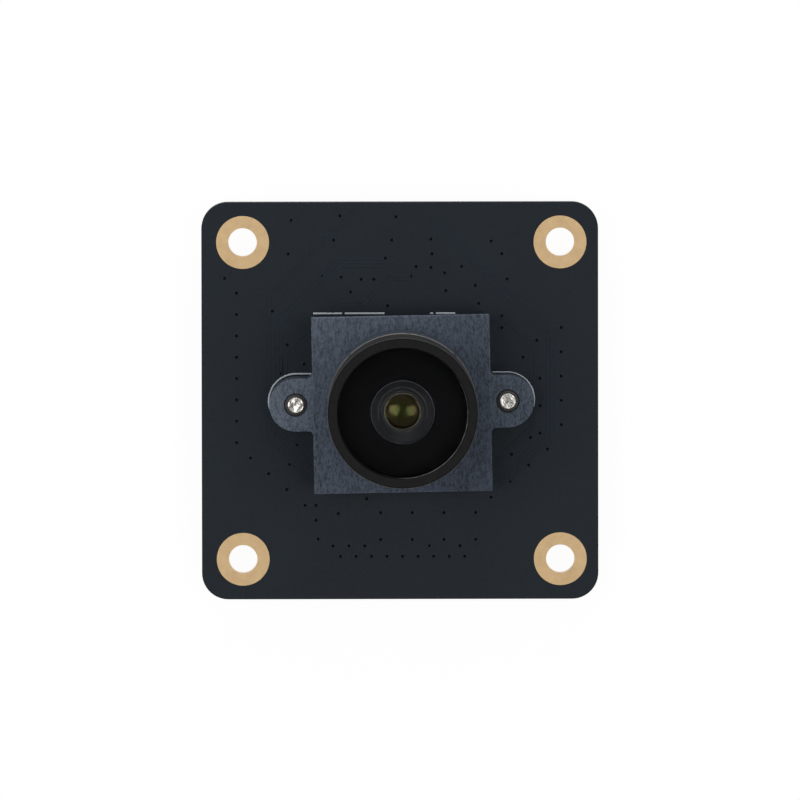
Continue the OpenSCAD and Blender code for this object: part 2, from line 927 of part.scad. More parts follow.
// Gull-wing lead that leaves a body of thickness t at x = 0 and stands on z = 0
module gull_lead(t, reach, w) {
    exit_z = standoff + (t - lead_t) / 2;
    knee = reach * 0.3;
    heel = reach * 0.5;
    translate([0, w / 2, 0])
        rotate([90, 0, 0])
            linear_extrude(w)
                polygon([
                    [0, exit_z],
                    [knee - lead_t * 0.4, exit_z],
                    [heel - lead_t * 0.6, 0],
                    [reach, 0],
                    [reach, lead_t],
                    [heel + lead_t * 0.4, lead_t],
                    [knee + lead_t * 0.6, exit_z + lead_t],
                    [0, exit_z + lead_t]
                ]);
}

module processor() {
    dot_r = 0.45;
    dot_depth = 0.06;
    color("#1d1e20")
        on_back(cpu_place)
            difference() {
                moulded_body(cpu_w, cpu_w, cpu_t);
                translate([-cpu_w / 2 + 1.3, cpu_w / 2 - 1.3, standoff + cpu_t - dot_depth])
                    cylinder(r = dot_r, h = 1);
            }
}

module processor_leads() {
    color("#c9cacc")
        on_back(cpu_place)
            for (a = [0 : 90 : 270])
                rotate([0, 0, a])
                    for (y = spread(cpu_leads, cpu_pitch))
                        translate([cpu_w / 2, y, 0])
                            gull_lead(cpu_t, cpu_lead_reach, cpu_lead_w);
}

module flash_chip() {
    dot_r = 0.3;
    color("#1d1e20")
        on_back(flash_place)
            difference() {
                moulded_body(flash_w, flash_l, flash_t);
                translate([-flash_w / 2 + 0.8, flash_l / 2 - 0.8, standoff + flash_t - 0.06])
                    cylinder(r = dot_r, h = 1, $fn = 32);
            }
}

module flash_leads() {
    color("#c9cacc")
        on_back(flash_place)
            for (a = [0, 180])
                rotate([0, 0, a])
                    for (y = spread(4, flash_pitch))
                        translate([flash_w / 2, y, 0])
                            gull_lead(flash_t, flash_reach, flash_lead_w);
}

module regulators() {
    color("#1d1e20")
        for (place = regulator_places)
            on_back(place)
                moulded_body(regulator_w, regulator_l, regulator_t);
}

module regulator_leads() {
    color("#c9cacc")
        for (place = regulator_places)
            on_back(place) {
                for (y = spread(3, regulator_pitch))
                    translate([regulator_w / 2, y, 0])
                        gull_lead(regulator_t, regulator_reach, regulator_lead_w);
                rotate([0, 0, 180])
                    for (y = spread(2, 2 * regulator_pitch))
                        translate([regulator_w / 2, y, 0])
                            gull_lead(regulator_t, regulator_reach, regulator_lead_w);
            }
}

module crystal_base() {
    color("#c9b79a")
        on_back(crystal_place)
            linear_extrude(crystal_base_t)
                rounded_rect(crystal_w, crystal_l, crystal_rim);
}

module crystal_lid() {
    color("#c8ccd0")
        on_back(crystal_place)
            translate([0, 0, crystal_base_t])
                linear_extrude(crystal_lid_t)
                    rounded_rect(crystal_w - 2 * crystal_rim, crystal_l - 2 * crystal_rim, 2 * crystal_rim);
}

// ---------- power inductor ----------

choke_bore_d = choke_w * 0.88;
choke_core_d = choke_bore_d - 0.3;
choke_hub_d = choke_w * 0.4;
choke_base = 0.35;
choke_flange = 0.5;

// Square ferrite shield with cut corners and a round bore
module choke_shield() {
    cut = choke_w * 0.22;
    color("#2e2f33")
        on_back(choke_place)
            difference() {
                translate([0, 0, choke_base])
                    linear_extrude(choke_h - choke_base)
                        intersection() {
                            square(choke_w, center = true);
                            rotate([0, 0, 45])
                                square((choke_w - cut) * sqrt(2), center = true);
                        }
                cylinder(d = choke_bore_d, h = choke_h + 1);
            }
}

// Ferrite drum: two flanges on a hub
module choke_core() {
    core_r = choke_core_d / 2;
    hub_r = choke_hub_d / 2;
    top = choke_h - 0.1;
    color("#3b3c40")
        on_back(choke_place)
            turned([
                [0, choke_base],
                [core_r, choke_base],
                [core_r, choke_base + choke_flange],
                [hub_r, choke_base + choke_flange],
                [hub_r, top - choke_flange],
                [core_r, top - choke_flange],
                [core_r, top],
                [0, top]
            ]);
}

// Copper winding as one coil of closed outer shape between the flanges
module choke_winding() {
    top = choke_h - 0.1 - choke_flange;
    color("#b5713c")
        on_back(choke_place)
            washer(choke_core_d - 0.3, choke_hub_d, choke_base + choke_flange, top);
}

// Two soldered clips under the shield
module choke_terminals() {
    color("#c8c9ca")
        on_back(choke_place)
            for (s = [-1, 1])
                translate([s * choke_w * 0.34, 0, choke_base / 2])
                    cube([choke_w * 0.26, choke_w * 0.5, choke_base], center = true);
}

// ---------- small parts on the back ----------

module tantalum_capacitors() {
    band = 0.3;
    color("#b98a3a")
        for (place = tantalum_places)
            on_back(place)
                difference() {
                    translate([0, 0, standoff])
                        linear_extrude(tantalum_h - standoff)
                            square([tantalum_l, tantalum_w], center = true);
                    translate([tantalum_l / 2 - band, 0, tantalum_h])
                        cube([band, tantalum_w + 1, 0.08], center = true);
                }
}

// Clip that runs up each end of a tantalum capacitor from a foot under it
module tantalum_terminals() {
    rise = tantalum_h * 0.55;
    clip_w = tantalum_w * 0.75;
    foot = 0.8;
    color("#c8c9ca")
        for (place = tantalum_places)
            on_back(place)
                for (s = [0, 1])
                    mirror([s, 0, 0])
                        translate([tantalum_l / 2, clip_w / 2, 0])
                            rotate([90, 0, 0])
                                linear_extrude(clip_w)
                                    polygon([
                                        [-foot, 0],
                                        [tantalum_clip, 0],
                                        [tantalum_clip, rise],
                                        [0, rise],
                                        [0, standoff],
                                        [-foot, standoff]
                                    ]);
}

// The three chip sizes; the two smaller ones are as high as they are wide
small_l = 1;
small_w = 0.5;
middle_l = 1.6;
middle_w = 0.8;
large_l = 2;
large_w = 1.25;
large_h = 1.1;
small_chip = [small_l, small_w, small_w];
middle_chip = [middle_l, middle_w, middle_w];
large_chip = [large_l, large_w, large_h];

// Rows of chips fill the strips between the processor and the parts above and below it
cpu_half = cpu_w / 2 + cpu_lead_reach;
upper_rows = rows_between(cpu_y + cpu_half, upper_y - choke_margin - choke_w / 2);
lower_rows = rows_between(cpu_y - cpu_half, pin_foot_y);
edge_row_y = upper_y - 1.75;
cpu_column = cpu_half + row_gap + small_l / 2;
corner_x = hole_pitch_x / 2 - land_d / 2 - 0.5 - middle_l / 2;
corner_margin = 6.15;
corner_step = 1.7;
screw_row = screw_head_d / 2 + 1.6;

// Each entry is a chip's place and size
capacitor_places = concat(
    [for (x = spread(4, 2.2)) [x, upper_rows[0], 90, small_chip]],
    [for (x = spread(5, 1.9)) [x, lower_rows[0], 90, small_chip]],
    [for (s = [-1, 1], y = spread(3, 1.6)) [-s * cpu_column, cpu_y + s * 4.5 + y, 0, small_chip]],
    [for (s = [-1, 1], i = [0 : 2])
        [s * corner_x, upper_y - corner_margin + i * corner_step, 0, middle_chip]],
    [for (s = [-1, 1]) [s * corner_x, lower_y + corner_margin, 0, middle_chip]],
    [for (s = [-1, 1]) [s * (side_x - large_l / 2 - 0.3), lower_y + 9.1, 0, large_chip]],
    [for (s = [-1, 1]) [crystal_x + s * 0.9, crystal_place[1] - crystal_w / 2 - part_gap, 0, small_chip]],
    [for (x = spread(7, 1.6)) [x, edge_row_y, 90, small_chip]],
    [for (s = [-1, 1], x = spread(2, 1.4)) [s * ear_pitch / 2 + x, screw_row, 90, small_chip]],
    [[side_x - 2.7, lower_y + 12.1, 0, middle_chip]]
);

resistor_places = concat(
    [for (s = [-1, 1], y = spread(4, 1.2)) [s * (side_x - 1.35), y - 1, 0, small_chip]],
    [for (i = [1 : 1 : len(upper_rows) - 1], x = spread(9, 1.3)) [x, upper_rows[i], 90, small_chip]],
    [for (i = [1 : 1 : len(lower_rows) - 1], x = spread(conn_ways, conn_pitch))
        [x, lower_rows[i], 90, small_chip]],
    [for (s = [-1, 1], x = spread(2, 1.4)) [s * ear_pitch / 2 + x, -screw_row, 90, small_chip]],
    [for (s = [-1, 1]) [s * 9.6, lower_y + 11.2, 90, middle_chip]]
);

// Share of a chip's length that each metal end takes
end_share = 0.22;

module chip_body(size, thickness) {
    body_l = size[0] * (1 - 2 * end_share);
    translate([0, 0, thickness / 2])
        cube([body_l, size[1] * 0.94, thickness * 0.94], center = true);
}

module chip_ends(size, thickness) {
    end_l = size[0] * end_share;
    for (s = [-1, 1])
        translate([s * (size[0] - end_l) / 2, 0, thickness / 2])
            cube([end_l, size[1], thickness], center = true);
}

module ceramic_capacitors() {
    color("#a98565")
        for (place = capacitor_places)
            on_back(place)
                chip_body(place[3], place[3][2]);
}

module ceramic_capacitor_ends() {
    color("#c4c3bf")
        for (place = capacitor_places)
            on_back(place)
                chip_ends(place[3], place[3][2]);
}

module chip_resistors() {
    color("#202226")
        for (place = resistor_places)
            on_back(place)
                chip_body(place[3], place[3][2] * 0.7);
}

module chip_resistor_ends() {
    color("#c4c3bf")
        for (place = resistor_places)
            on_back(place)
                chip_ends(place[3], place[3][2] * 0.7);
}

// ---------- connector ----------

// Side-entry housing, open towards the board's edge, with keyways in its roof and sides
module connector_housing() {
    inner_w = conn_w - 2 * conn_wall;
    depth = conn_l - conn_floor_t;
    key_w = 0.9;
    color("#e6e0d0")
        difference() {
            translate([-conn_w / 2, conn_mouth_y, -conn_h])
                cube([conn_w, conn_l, conn_h]);
            translate([-inner_w / 2, conn_mouth_y - eps, -conn_h + conn_wall])
                cube([inner_w, depth + eps, conn_slot_h]);
            for (x = [-1, 1] * inner_w * 0.3)
                translate([x - key_w / 2, conn_mouth_y - eps, -conn_h - eps])
                    cube([key_w, depth * 0.6, conn_wall + 2 * eps]);
            for (s = [-1, 1])
                translate([s * (conn_w - conn_wall) / 2 - conn_wall, conn_mouth_y - eps, pin_z - 0.4])
                    cube([2 * conn_wall, depth * 0.55, 0.8]);
            for (x = spread(conn_ways, conn_pitch))
                translate([x - pin_w / 2, conn_back_y - conn_floor_t - eps, pin_z - pin_t / 2])
                    cube([pin_w, conn_floor_t + 2 * eps, pin_t]);
            for (s = [-1, 1])
                translate([s * conn_w / 2, conn_mouth_y + conn_l * 0.68, -conn_h / 2])
                    cube([2 * tab_t, tab_l, conn_h + 2 * eps], center = true);
        }
}

// One contact: a blade in the mouth, a bend behind the housing and a soldered foot
module contact() {
    blade_y = conn_mouth_y + conn_l * 0.3;
    translate([-pin_w / 2, 0, 0])
        rotate([90, 0, 90])
            linear_extrude(pin_w)
                polygon([
                    [blade_y, pin_z - pin_t * 0.2],
                    [blade_y + 0.2, pin_z - pin_t / 2],
                    [pin_back_y + pin_t, pin_z - pin_t / 2],
                    [pin_back_y + pin_t, -pin_t * 0.7],
                    [pin_foot_y, -pin_t * 0.7],
                    [pin_foot_y, 0],
                    [pin_back_y, 0],
                    [pin_back_y, pin_z + pin_t / 2],
                    [blade_y + 0.2, pin_z + pin_t / 2],
                    [blade_y, pin_z + pin_t * 0.2]
                ]);
}

module connector_pins() {
    color("#cfcfca")
        for (x = spread(conn_ways, conn_pitch))
            translate([x, 0, 0])
                contact();
}

tab_t = 0.25;
tab_l = 1.6;
tab_foot = 0.9;

// Solder tabs that hold the housing's sides down
module connector_tabs() {
    tab_y = conn_mouth_y + conn_l * 0.68;
    color("#cfcfca")
        for (s = [0, 1])
            mirror([s, 0, 0])
                translate([conn_w / 2 - tab_t, tab_y + tab_l / 2, 0])
                    rotate([90, 0, 0])
                        linear_extrude(tab_l)
                            polygon([
                                [0, -conn_h * 0.75],
                                [tab_t, -conn_h * 0.75],
                                [tab_t, -tab_t],
                                [tab_t + tab_foot, -tab_t],
                                [tab_t + tab_foot, 0],
                                [0, 0]
                            ]);
}

board();
plated_holes();
sensor_package();
sensor_die();
sensor_window();
lens_holder();
holder_screws();
lens_barrel();
lock_ring();
front_ring();
front_glass();
cone_baffle();
second_glass();
front_spacer();
third_glass();
aperture_stop();
middle_spacer();
doublet_crown();
doublet_flint();
rear_spacer();
rear_glass();
rear_ring();
infrared_filter();
processor();
processor_leads();
flash_chip();
flash_leads();
regulators();
regulator_leads();
crystal_base();
crystal_lid();
choke_shield();
choke_core();
choke_winding();
choke_terminals();
tantalum_capacitors();
tantalum_terminals();
ceramic_capacitors();
ceramic_capacitor_ends();
chip_resistors();
chip_resistor_ends();
connector_housing();
connector_pins();
connector_tabs();
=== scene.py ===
"""Looks of a board camera: a finish for every piece of the packed model, and the fine detail
that its solids leave out, such as tracks, vias, ink, solder and the wound coil.

The frame is in metres. Sizes that a user would change are properties, in metres; places on
the board are written in millimetres and turned into metres by mm().
"""

import math

import bmesh
import bpy
from bpy.props import FloatProperty, FloatVectorProperty, PointerProperty
from mathutils import Euler, Matrix, Vector, noise


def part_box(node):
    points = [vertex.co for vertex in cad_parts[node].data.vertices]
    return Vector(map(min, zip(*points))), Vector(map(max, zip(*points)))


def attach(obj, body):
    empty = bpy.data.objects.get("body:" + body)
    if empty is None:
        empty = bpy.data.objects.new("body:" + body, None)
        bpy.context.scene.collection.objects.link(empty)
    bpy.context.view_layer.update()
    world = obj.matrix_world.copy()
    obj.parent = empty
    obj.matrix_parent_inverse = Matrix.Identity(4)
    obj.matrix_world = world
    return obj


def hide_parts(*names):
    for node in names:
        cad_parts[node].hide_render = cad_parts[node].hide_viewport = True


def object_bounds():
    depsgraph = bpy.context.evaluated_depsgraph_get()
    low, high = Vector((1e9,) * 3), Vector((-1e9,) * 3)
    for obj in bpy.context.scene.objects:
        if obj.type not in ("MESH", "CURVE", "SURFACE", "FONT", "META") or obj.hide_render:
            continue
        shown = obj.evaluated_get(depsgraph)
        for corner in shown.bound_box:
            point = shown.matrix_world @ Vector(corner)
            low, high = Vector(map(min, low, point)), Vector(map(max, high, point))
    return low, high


bl_info = {
    "name": "Board camera looks",
    "version": (1, 0, 0),
    "blender": (4, 5, 0),
    "location": "View3D > Sidebar > Board camera",
    "description": "Finishes and fine detail for a board camera module",
    "category": "Object",
}

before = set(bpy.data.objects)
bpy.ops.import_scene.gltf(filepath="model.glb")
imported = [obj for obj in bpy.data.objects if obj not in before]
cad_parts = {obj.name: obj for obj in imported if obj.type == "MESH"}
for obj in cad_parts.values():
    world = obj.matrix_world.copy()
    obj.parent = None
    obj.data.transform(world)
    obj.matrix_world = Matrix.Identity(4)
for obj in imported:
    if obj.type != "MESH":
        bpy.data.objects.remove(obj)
CAD_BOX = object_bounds()
BOARD_LOW, BOARD_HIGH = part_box("board")
TOP_Z, BACK_Z = BOARD_HIGH.z, BOARD_LOW.z
BOARD_BODY, LENS_BODY = "board_body", "lens_body"


def mm(*values):
    """Millimetres as metres: one number, or a vector of two or three."""
    return values[0] / 1000 if len(values) == 1 else Vector(values) / 1000


# ---------- properties ----------

def length(name, description, default_mm):
    return FloatProperty(name=name, description=description, default=mm(default_mm),
                         unit="LENGTH", precision=5, min=0)


def brightness(name, description, default):
    return FloatProperty(name=name, description=description, default=default, min=0, max=4)


def tint(name, thing, default):
    return FloatVectorProperty(name=name, description="Colour of " + thing, default=default,
                               subtype="COLOR", size=3, min=0, max=1)


class StageSettings(bpy.types.PropertyGroup):
    """Light, floor and camera."""

    floor_color: tint("Floor", "the floor", (0.93, 0.93, 0.93))
    left_light: brightness("Left light", "What the left softbox gives a white surface", 0.12)
    right_light: brightness("Right light", "What the right softbox gives a white surface", 0.1)
    upper_light: brightness("Upper light", "What the upper softbox gives a white surface", 0.16)
    side_sky: brightness("Side light", "Brightness of the surroundings near the horizon", 0.48)
    top_sky: brightness("Top light", "Brightness of the surroundings overhead", 0.26)
    camera_distance: length("Camera distance", "From the lens's focus to the board", 1300)
    focal_mm: FloatProperty(name="Focal length", description="Focal length of the camera in mm",
                            default=617.9, min=50)


class BoardSettings(bpy.types.PropertyGroup):
    """The bare circuit board and what is printed on it."""

    mask_color: tint("Solder mask", "the solder mask", (0.0024, 0.0094, 0.0182))
    edge_color: tint("Cut edge", "the board's cut edge", (0.012, 0.010, 0.009))
    gold_color: tint("Gold", "the plated lands", (0.71, 0.5, 0.275))
    ink_color: tint("Ink", "the printed lines", (0.62, 0.66, 0.70))
    track_width: length("Track width", "Width of a track", 0.16)
    track_height: length("Track height", "Height of a track under the mask", 0.02)
    track_pitch: length("Track pitch", "Distance between neighbouring tracks", 0.36)
    via_d: length("Via land", "Diameter of a via's land", 0.5)
    via_hole_d: length("Via hole", "Diameter of a via's hole", 0.3)
    ink_width: length("Ink width", "Width of a printed line", 0.16)
    ink_height: length("Ink height", "Thickness of the ink", 0.03)


class HolderSettings(bpy.types.PropertyGroup):
    """The cast lens holder and its two screws."""

    metal_color: tint("Holder metal", "the holder's finish", (0.054, 0.066, 0.09))
    # Painted light: the paler colour of the holder's face towards its upper left corner
    painted_light_color: tint("Worn edges", "the metal on worn edges", (0.31, 0.37, 0.45))
    screw_color: tint("Screws", "the screws", (0.86, 0.84, 0.78))
    screw_d: length("Screws", "Diameter of the screws' shanks", 2.0)
    # Painted shade: the dark thread around the cut tips stands in for shade in the ears' holes
    thread_shade_color: tint("Worn thread", "the thread around the cut tips", (0.085, 0.08, 0.076))
    tip_d: length("Cut tip", "Diameter of a screw's cut tip", 1.44)
    tip_rise: length("Tip height", "How far the torn face of a tip stands up", 0.16)


class LensSettings(bpy.types.PropertyGroup):
    """The lens, its glasses and the lock ring."""

    barrel_color: tint("Barrel", "the anodised barrel", (0.022, 0.021, 0.021))
    ring_color: tint("Front ring", "the matte front ring", (0.005, 0.0048, 0.0052))
    lock_color: tint("Lock ring", "the lock ring", (0.38, 0.36, 0.34))
    edge_color: tint("Worn edges", "the front ring's worn edges", (0.06, 0.06, 0.06))
    inner_color: tint("Baffle", "the cone baffle", (0.013, 0.014, 0.02))
    edge_line: length("Worn edge", "Width of the front ring's worn edges", 0.05)
    ring_opening: length("Front opening", "Radius of the front ring's opening", 6.05)
    cell_color: tint("Cells", "the spacers and the stop", (0.26, 0.27, 0.25))
    coat_color: tint("Coating", "the second glass's reflections", (0.48, 0.62, 0.15))
    coat_edge_color: tint("Coating's edge", "its reflections away from the axis", (0.9, 0.74, 0.3))
    dome_rim: length("Front dome", "Radius of the front glass's dome at its edge", 6.0)
    bowl_rim: length("Front hollow", "Radius of the hollow in the front glass", 2.95)
    bowl_depth: length("Front hollow depth", "How deep the hollow in the front glass is", 1.8)
    paint_lap: length("Paint overlap", "How far the black paint laps into that hollow", 0.06)
    rim_bevel: length("Ground line", "Width of the ground line inside the paint", 0.05)
    second_rim: length("Second dome", "Radius of the second glass's dome at its edge", 2.0)
    second_bowl: length("Second hollow", "Radius of the hollow in the second glass", 2.4)
    second_depth: length("Second hollow depth", "How deep the second glass's hollow is", 0.917)
    lip_radius: length("Baffle lip", "Radius of the opening in the baffle's lip", 2.1)
    lip_step: length("Baffle step", "Radius of the step outside the baffle's lip", 2.35)


class BackSettings(bpy.types.PropertyGroup):
    """Chips, small parts, solder and the connector on the back."""

    epoxy_color: tint("Chip body", "moulded chips", (0.016, 0.0165, 0.0175))
    tin_color: tint("Tin", "leads and solder", (0.66, 0.66, 0.64))
    nylon_color: tint("Connector", "the connector's nylon", (0.74, 0.69, 0.57))
    copper_color: tint("Winding", "enamelled copper wire", (0.62, 0.25, 0.10))
    solder_spread: length("Solder spread", "How far a fillet spreads around a chip's end", 0.14)
    tantalum_color: tint("Tantalum capacitor", "the moulded case", (0.5, 0.27, 0.05))
    band_y: length("Polarity band", "Where the tantalum capacitors' band starts", 14.1)
    wire_d: length("Wire", "Diameter of the inductor's wire", 0.2)


SETTINGS = {
    "camera_stage": StageSettings,
    "camera_board": BoardSettings,
    "camera_holder": HolderSettings,
    "camera_lens": LensSettings,
    "camera_back": BackSettings,
}


# ---------- finishes ----------

NOISE_RANGE = (0.3, 0.7)


def shade(color, factor):
    """A colour made darker or lighter, as the four numbers that a socket takes."""
    return [c * factor for c in color[:3]] + [1]


class Graph:
    """Adds nodes to a node tree, with a value or a link for each socket named."""

    def __init__(self, tree):
        self.tree = tree

    def set(self, node, inputs):
        for key, value in inputs.items():
            if isinstance(value, bpy.types.NodeSocket):
                self.tree.links.new(value, node.inputs[key])
            else:
                node.inputs[key].default_value = value

    def node(self, kind, inputs, **settings):
        made = self.tree.nodes.new("ShaderNode" + kind)
        for key, value in settings.items():
            setattr(made, key, value)
        self.set(made, inputs)
        return made

    def math(self, operation, first, second=0.0):
        return self.node("Math", {0: first, 1: second}, operation=operation).outputs[0]


class Finish(Graph):
    """A material built around one Principled shader. Coordinates are in millimetres."""

    def __init__(self, name, color, roughness=0.5, metallic=0.0, level=0.5, **sockets):
        self.material = bpy.data.materials.new(name)
        self.material.use_nodes = True
        super().__init__(self.material.node_tree)
        self.shader = self.tree.nodes["Principled BSDF"]
        self.color = shade(color, 1)
        self.normal = None
        self.set(self.shader, {"Base Color": self.color, "Roughness": roughness,
                               "Metallic": metallic, "Specular IOR Level": level})
        self.set(self.shader, {key.replace("_", " "): value for key, value in sockets.items()})

    def coords(self, stretch=(1, 1, 1), turn=0.0):
        place = self.node("TexCoord", {}).outputs["Object"]
        scale = [1000 * s for s in stretch]
        return self.node("Mapping", {"Vector": place, "Scale": scale,
                                     "Rotation": (0, 0, math.radians(turn))}).outputs["Vector"]

    def noise(self, scale, detail=3.0, rough=0.5, stretch=(1, 1, 1), turn=0.0):
        return self.node("TexNoise", {"Vector": self.coords(stretch, turn), "Scale": scale,
                                      "Detail": detail, "Roughness": rough}).outputs["Fac"]

    def cells(self, scale):
        inputs = {"Vector": self.coords(), "Scale": scale}
        return self.node("TexVoronoi", inputs).outputs["Distance"]

    def remap(self, value, low, high, to_low=0.0, to_high=1.0):
        return self.node("MapRange", {"Value": value, "From Min": low, "From Max": high,
                                      "To Min": to_low, "To Max": to_high}).outputs["Result"]

    def mix(self, factor, first, second):
        inputs = {"Factor": factor, 6: first, 7: second}
        return self.node("Mix", inputs, data_type="RGBA").outputs[2]

    def paint(self, color):
        self.set(self.shader, {"Base Color": color})

    def vary(self, value, amount):
        """Base colour that goes from darker to lighter by amount over a noise's usual range."""
        mixed = self.mix(self.remap(value, *NOISE_RANGE), shade(self.color, 1 - amount),
                         shade(self.color, 1 + amount))
        self.paint(mixed)
        return mixed

    def vary_roughness(self, value, low, high):
        self.set(self.shader, {"Roughness": self.remap(value, *NOISE_RANGE, low, high)})

    def bump(self, height, depth_mm, strength=1.0):
        inputs = {"Height": height, "Distance": mm(depth_mm), "Strength": strength}
        if self.normal:
            inputs["Normal"] = self.normal
        self.normal = self.node("Bump", inputs).outputs["Normal"]
        self.set(self.shader, {"Normal": self.normal})

    def axis(self, name):
        """One coordinate of the surface point, in millimetres."""
        return self.node("SeparateXYZ", {"Vector": self.coords()}).outputs[name]

    def facing(self, name):
        """One component of the surface's true normal."""
        normal = self.node("NewGeometry", {}).outputs["True Normal"]
        return self.node("SeparateXYZ", {"Vector": normal}).outputs[name]

    def radius(self):
        """Distance from the optical axis, in millimetres."""
        flat = self.coords((1, 1, 0))
        return self.node("VectorMath", {0: flat}, operation="LENGTH").outputs["Value"]


def solder_mask_finish(name, color, edge_color):
    finish = Finish(name, color, 0.46, level=0.32)
    face = finish.vary(finish.noise(0.22, 3), 0.10)
    flat = finish.remap(finish.math("ABSOLUTE", finish.facing("Z")), 0.4, 0.6)
    layers = finish.noise(3.0, 4, 0.7, (0.25, 0.25, 5))
    cut = finish.mix(finish.remap(layers, 0.35, 0.65), shade(edge_color, 0.5),
                     shade(edge_color, 2.2))
    finish.paint(finish.mix(flat, cut, face))
    finish.vary_roughness(finish.noise(2.5, 4), 0.42, 0.52)
    finish.bump(finish.noise(9, 3), 0.004, 0.35)
    finish.bump(finish.noise(0.6, 2), 0.02, 0.3)
    return finish.material


def gold_finish(color):
    finish = Finish("immersion_gold", color, 0.42, 1.0)
    finish.vary(finish.noise(1.1, 4, 0.6), 0.07)
    finish.vary_roughness(finish.noise(5, 3), 0.36, 0.5)
    finish.bump(finish.noise(14, 4, 0.6), 0.006, 0.5)
    return finish.material


def ink_finish(color):
    finish = Finish("white_ink", color, 0.6, level=0.3)
    finish.vary(finish.noise(7, 4, 0.7), 0.14)
    finish.bump(finish.noise(18, 3), 0.004, 0.6)
    return finish.material


def holder_finish(settings):
    """Dark cast metal with mottled, upright brush marks, small pits and painted light."""
    finish = Finish("brushed_holder", settings.metal_color, 0.5, 0.85)
    streaks = finish.noise(2.7, 5, 0.75, (1.7, 0.4, 1), 14)
    grain = finish.noise(5.2, 4, 0.75, (1.1, 0.6, 1), -20)
    blotch = finish.noise(0.42, 4, 0.6)
    wear = finish.math("ADD", finish.math("MULTIPLY", streaks, 0.45),
                       finish.math("MULTIPLY", grain, 0.55))
    marks = finish.remap(wear, 0.44, 0.56)
    base = settings.metal_color
    face = finish.mix(marks, shade(base, 0.4), shade(base, 1.75))
    patchy = finish.mix(finish.remap(blotch, 0.38, 0.64), shade(base, 0.8), shade(base, 1.35))
    mottled = finish.mix(0.3, face, patchy)
    # Painted light: a little paler towards the upper left, where the light falls, and on the ears
    slant = finish.math("SUBTRACT", finish.axis("Y"), finish.axis("X"))
    ears = finish.remap(finish.axis("Z"), 6.5, 7.0, 0.12, 0)
    painted_light = finish.math("MULTIPLY", finish.math("ADD", finish.remap(slant, -10, 22, 0, 0.26), ears),
                       finish.remap(wear, 0.42, 0.58, 0.5, 1.6))
    finish.paint(finish.mix(painted_light, mottled, shade(settings.painted_light_color, 1)))
    finish.vary_roughness(wear, 0.36, 0.66)
    finish.bump(streaks, 0.03, 0.6)
    finish.bump(grain, 0.02, 0.8)
    return finish.material


def screw_finish(name, color):
    """Bright plated steel, with painted shade where the thread runs out below the cut tip."""
    finish = Finish(name, color, 0.3, 1.0)
    torn = finish.noise(4.5, 5, 0.7)
    plated = finish.vary(torn, 0.2)
    # Painted shade: the steep thread below the cut tip is darkened
    upper = finish.remap(finish.axis("Z"), 3.0, 3.1)
    steep = finish.remap(finish.math("ABSOLUTE", finish.facing("Z")), 0.7, 0.8, 1, 0)
    painted_thread_shade = finish.math("MULTIPLY", upper, steep)
    # Painted shade on the floor of the cross recess, which lies above the face of the head
    inside = finish.math("MULTIPLY", finish.remap(finish.axis("Z"), -1.0, -0.95),
                         finish.remap(finish.axis("Z"), 0, 0.1, 1, 0))
    floor = finish.math("MULTIPLY", inside, finish.math("SUBTRACT", 1, steep))
    finish.paint(finish.mix(finish.math("ADD", painted_thread_shade, floor), plated, (0.09, 0.088, 0.085, 1)))
    finish.vary_roughness(torn, 0.2, 0.4)
    finish.bump(torn, 0.02, 0.5)
    return finish.material


def turned_finish(name, color, roughness, metallic=0.0, lines=7.0, groove_mm=0.004, level=0.4):
    """Turned metal, bare or anodised, with fine rings left by the lathe."""
    finish = Finish(name, color, roughness, metallic, level)
    rings = finish.node("TexNoise", {"W": finish.math("ADD", finish.radius(), finish.axis("Z")),
                                     "Scale": lines, "Detail": 3},
                        noise_dimensions="1D").outputs["Fac"]
    finish.vary(finish.noise(1.3, 4), 0.16)
    finish.vary_roughness(finish.noise(2.2, 4), roughness - 0.06, roughness + 0.08)
    finish.bump(rings, groove_mm, 0.5)
    finish.bump(finish.noise(12, 3), 0.003, 0.5)
    return finish.material


def edge_wear_and_highlight_finish(color, opening):
    """Bare metal on the edges of a ring, with a painted highlight on one side of its opening."""
    finish = Finish("worn_edge", color, 0.3, 1.0)
    # Painted highlight: the inner edge turns bright towards its lower right side
    side = finish.math("SUBTRACT", finish.math("MULTIPLY", finish.axis("X"), 1.3),
                       finish.math("MULTIPLY", finish.axis("Y"), 0.7))
    inner = finish.remap(finish.radius(), opening + 0.2, opening + 0.3, 1, 0)
    painted_highlight = finish.math("MULTIPLY", inner, finish.remap(side, 3.5, 8))
    dark = finish.mix(inner, shade(color, 1), shade(color, 0.35))
    with_highlight = finish.mix(painted_highlight, dark, (0.42, 0.41, 0.4, 1))
    patch = finish.remap(finish.noise(1.6, 3), 0.4, 0.6, 0.35, 1)
    finish.paint(finish.mix(patch, (0.01, 0.01, 0.01, 1), with_highlight))
    return finish.material


def glass_finish(name, ior, shine, color=(1, 1, 1), roughness=0.0):
    """Clear glass; shine is the colour that its coating leaves of each reflection."""
    return Finish(name, color, roughness, IOR=ior, Transmission_Weight=1.0,
                  Specular_Tint=shade(shine, 1)).material


def coated_finish(color, edge_color):
    """Glass whose coating reflects one colour near the axis and another further out."""
    finish = Finish("coated_glass", (1, 1, 1), 0.1, IOR=1.6, Transmission_Weight=1.0)
    shift = finish.remap(finish.radius(), 0.55, 1.35)
    finish.set(finish.shader, {"Specular Tint": finish.mix(shift, shade(color, 1),
                                                           shade(edge_color, 1))})
    return finish.material


def moulded_finish(name, color, roughness=0.55, grain=16.0, depth_mm=0.006):
    finish = Finish(name, color, roughness, level=0.35)
    finish.vary(finish.noise(0.8, 3), 0.12)
    finish.vary_roughness(finish.noise(3, 3), roughness - 0.07, roughness + 0.07)
    finish.bump(finish.noise(grain, 3, 0.6), depth_mm, 0.6)
    return finish.material


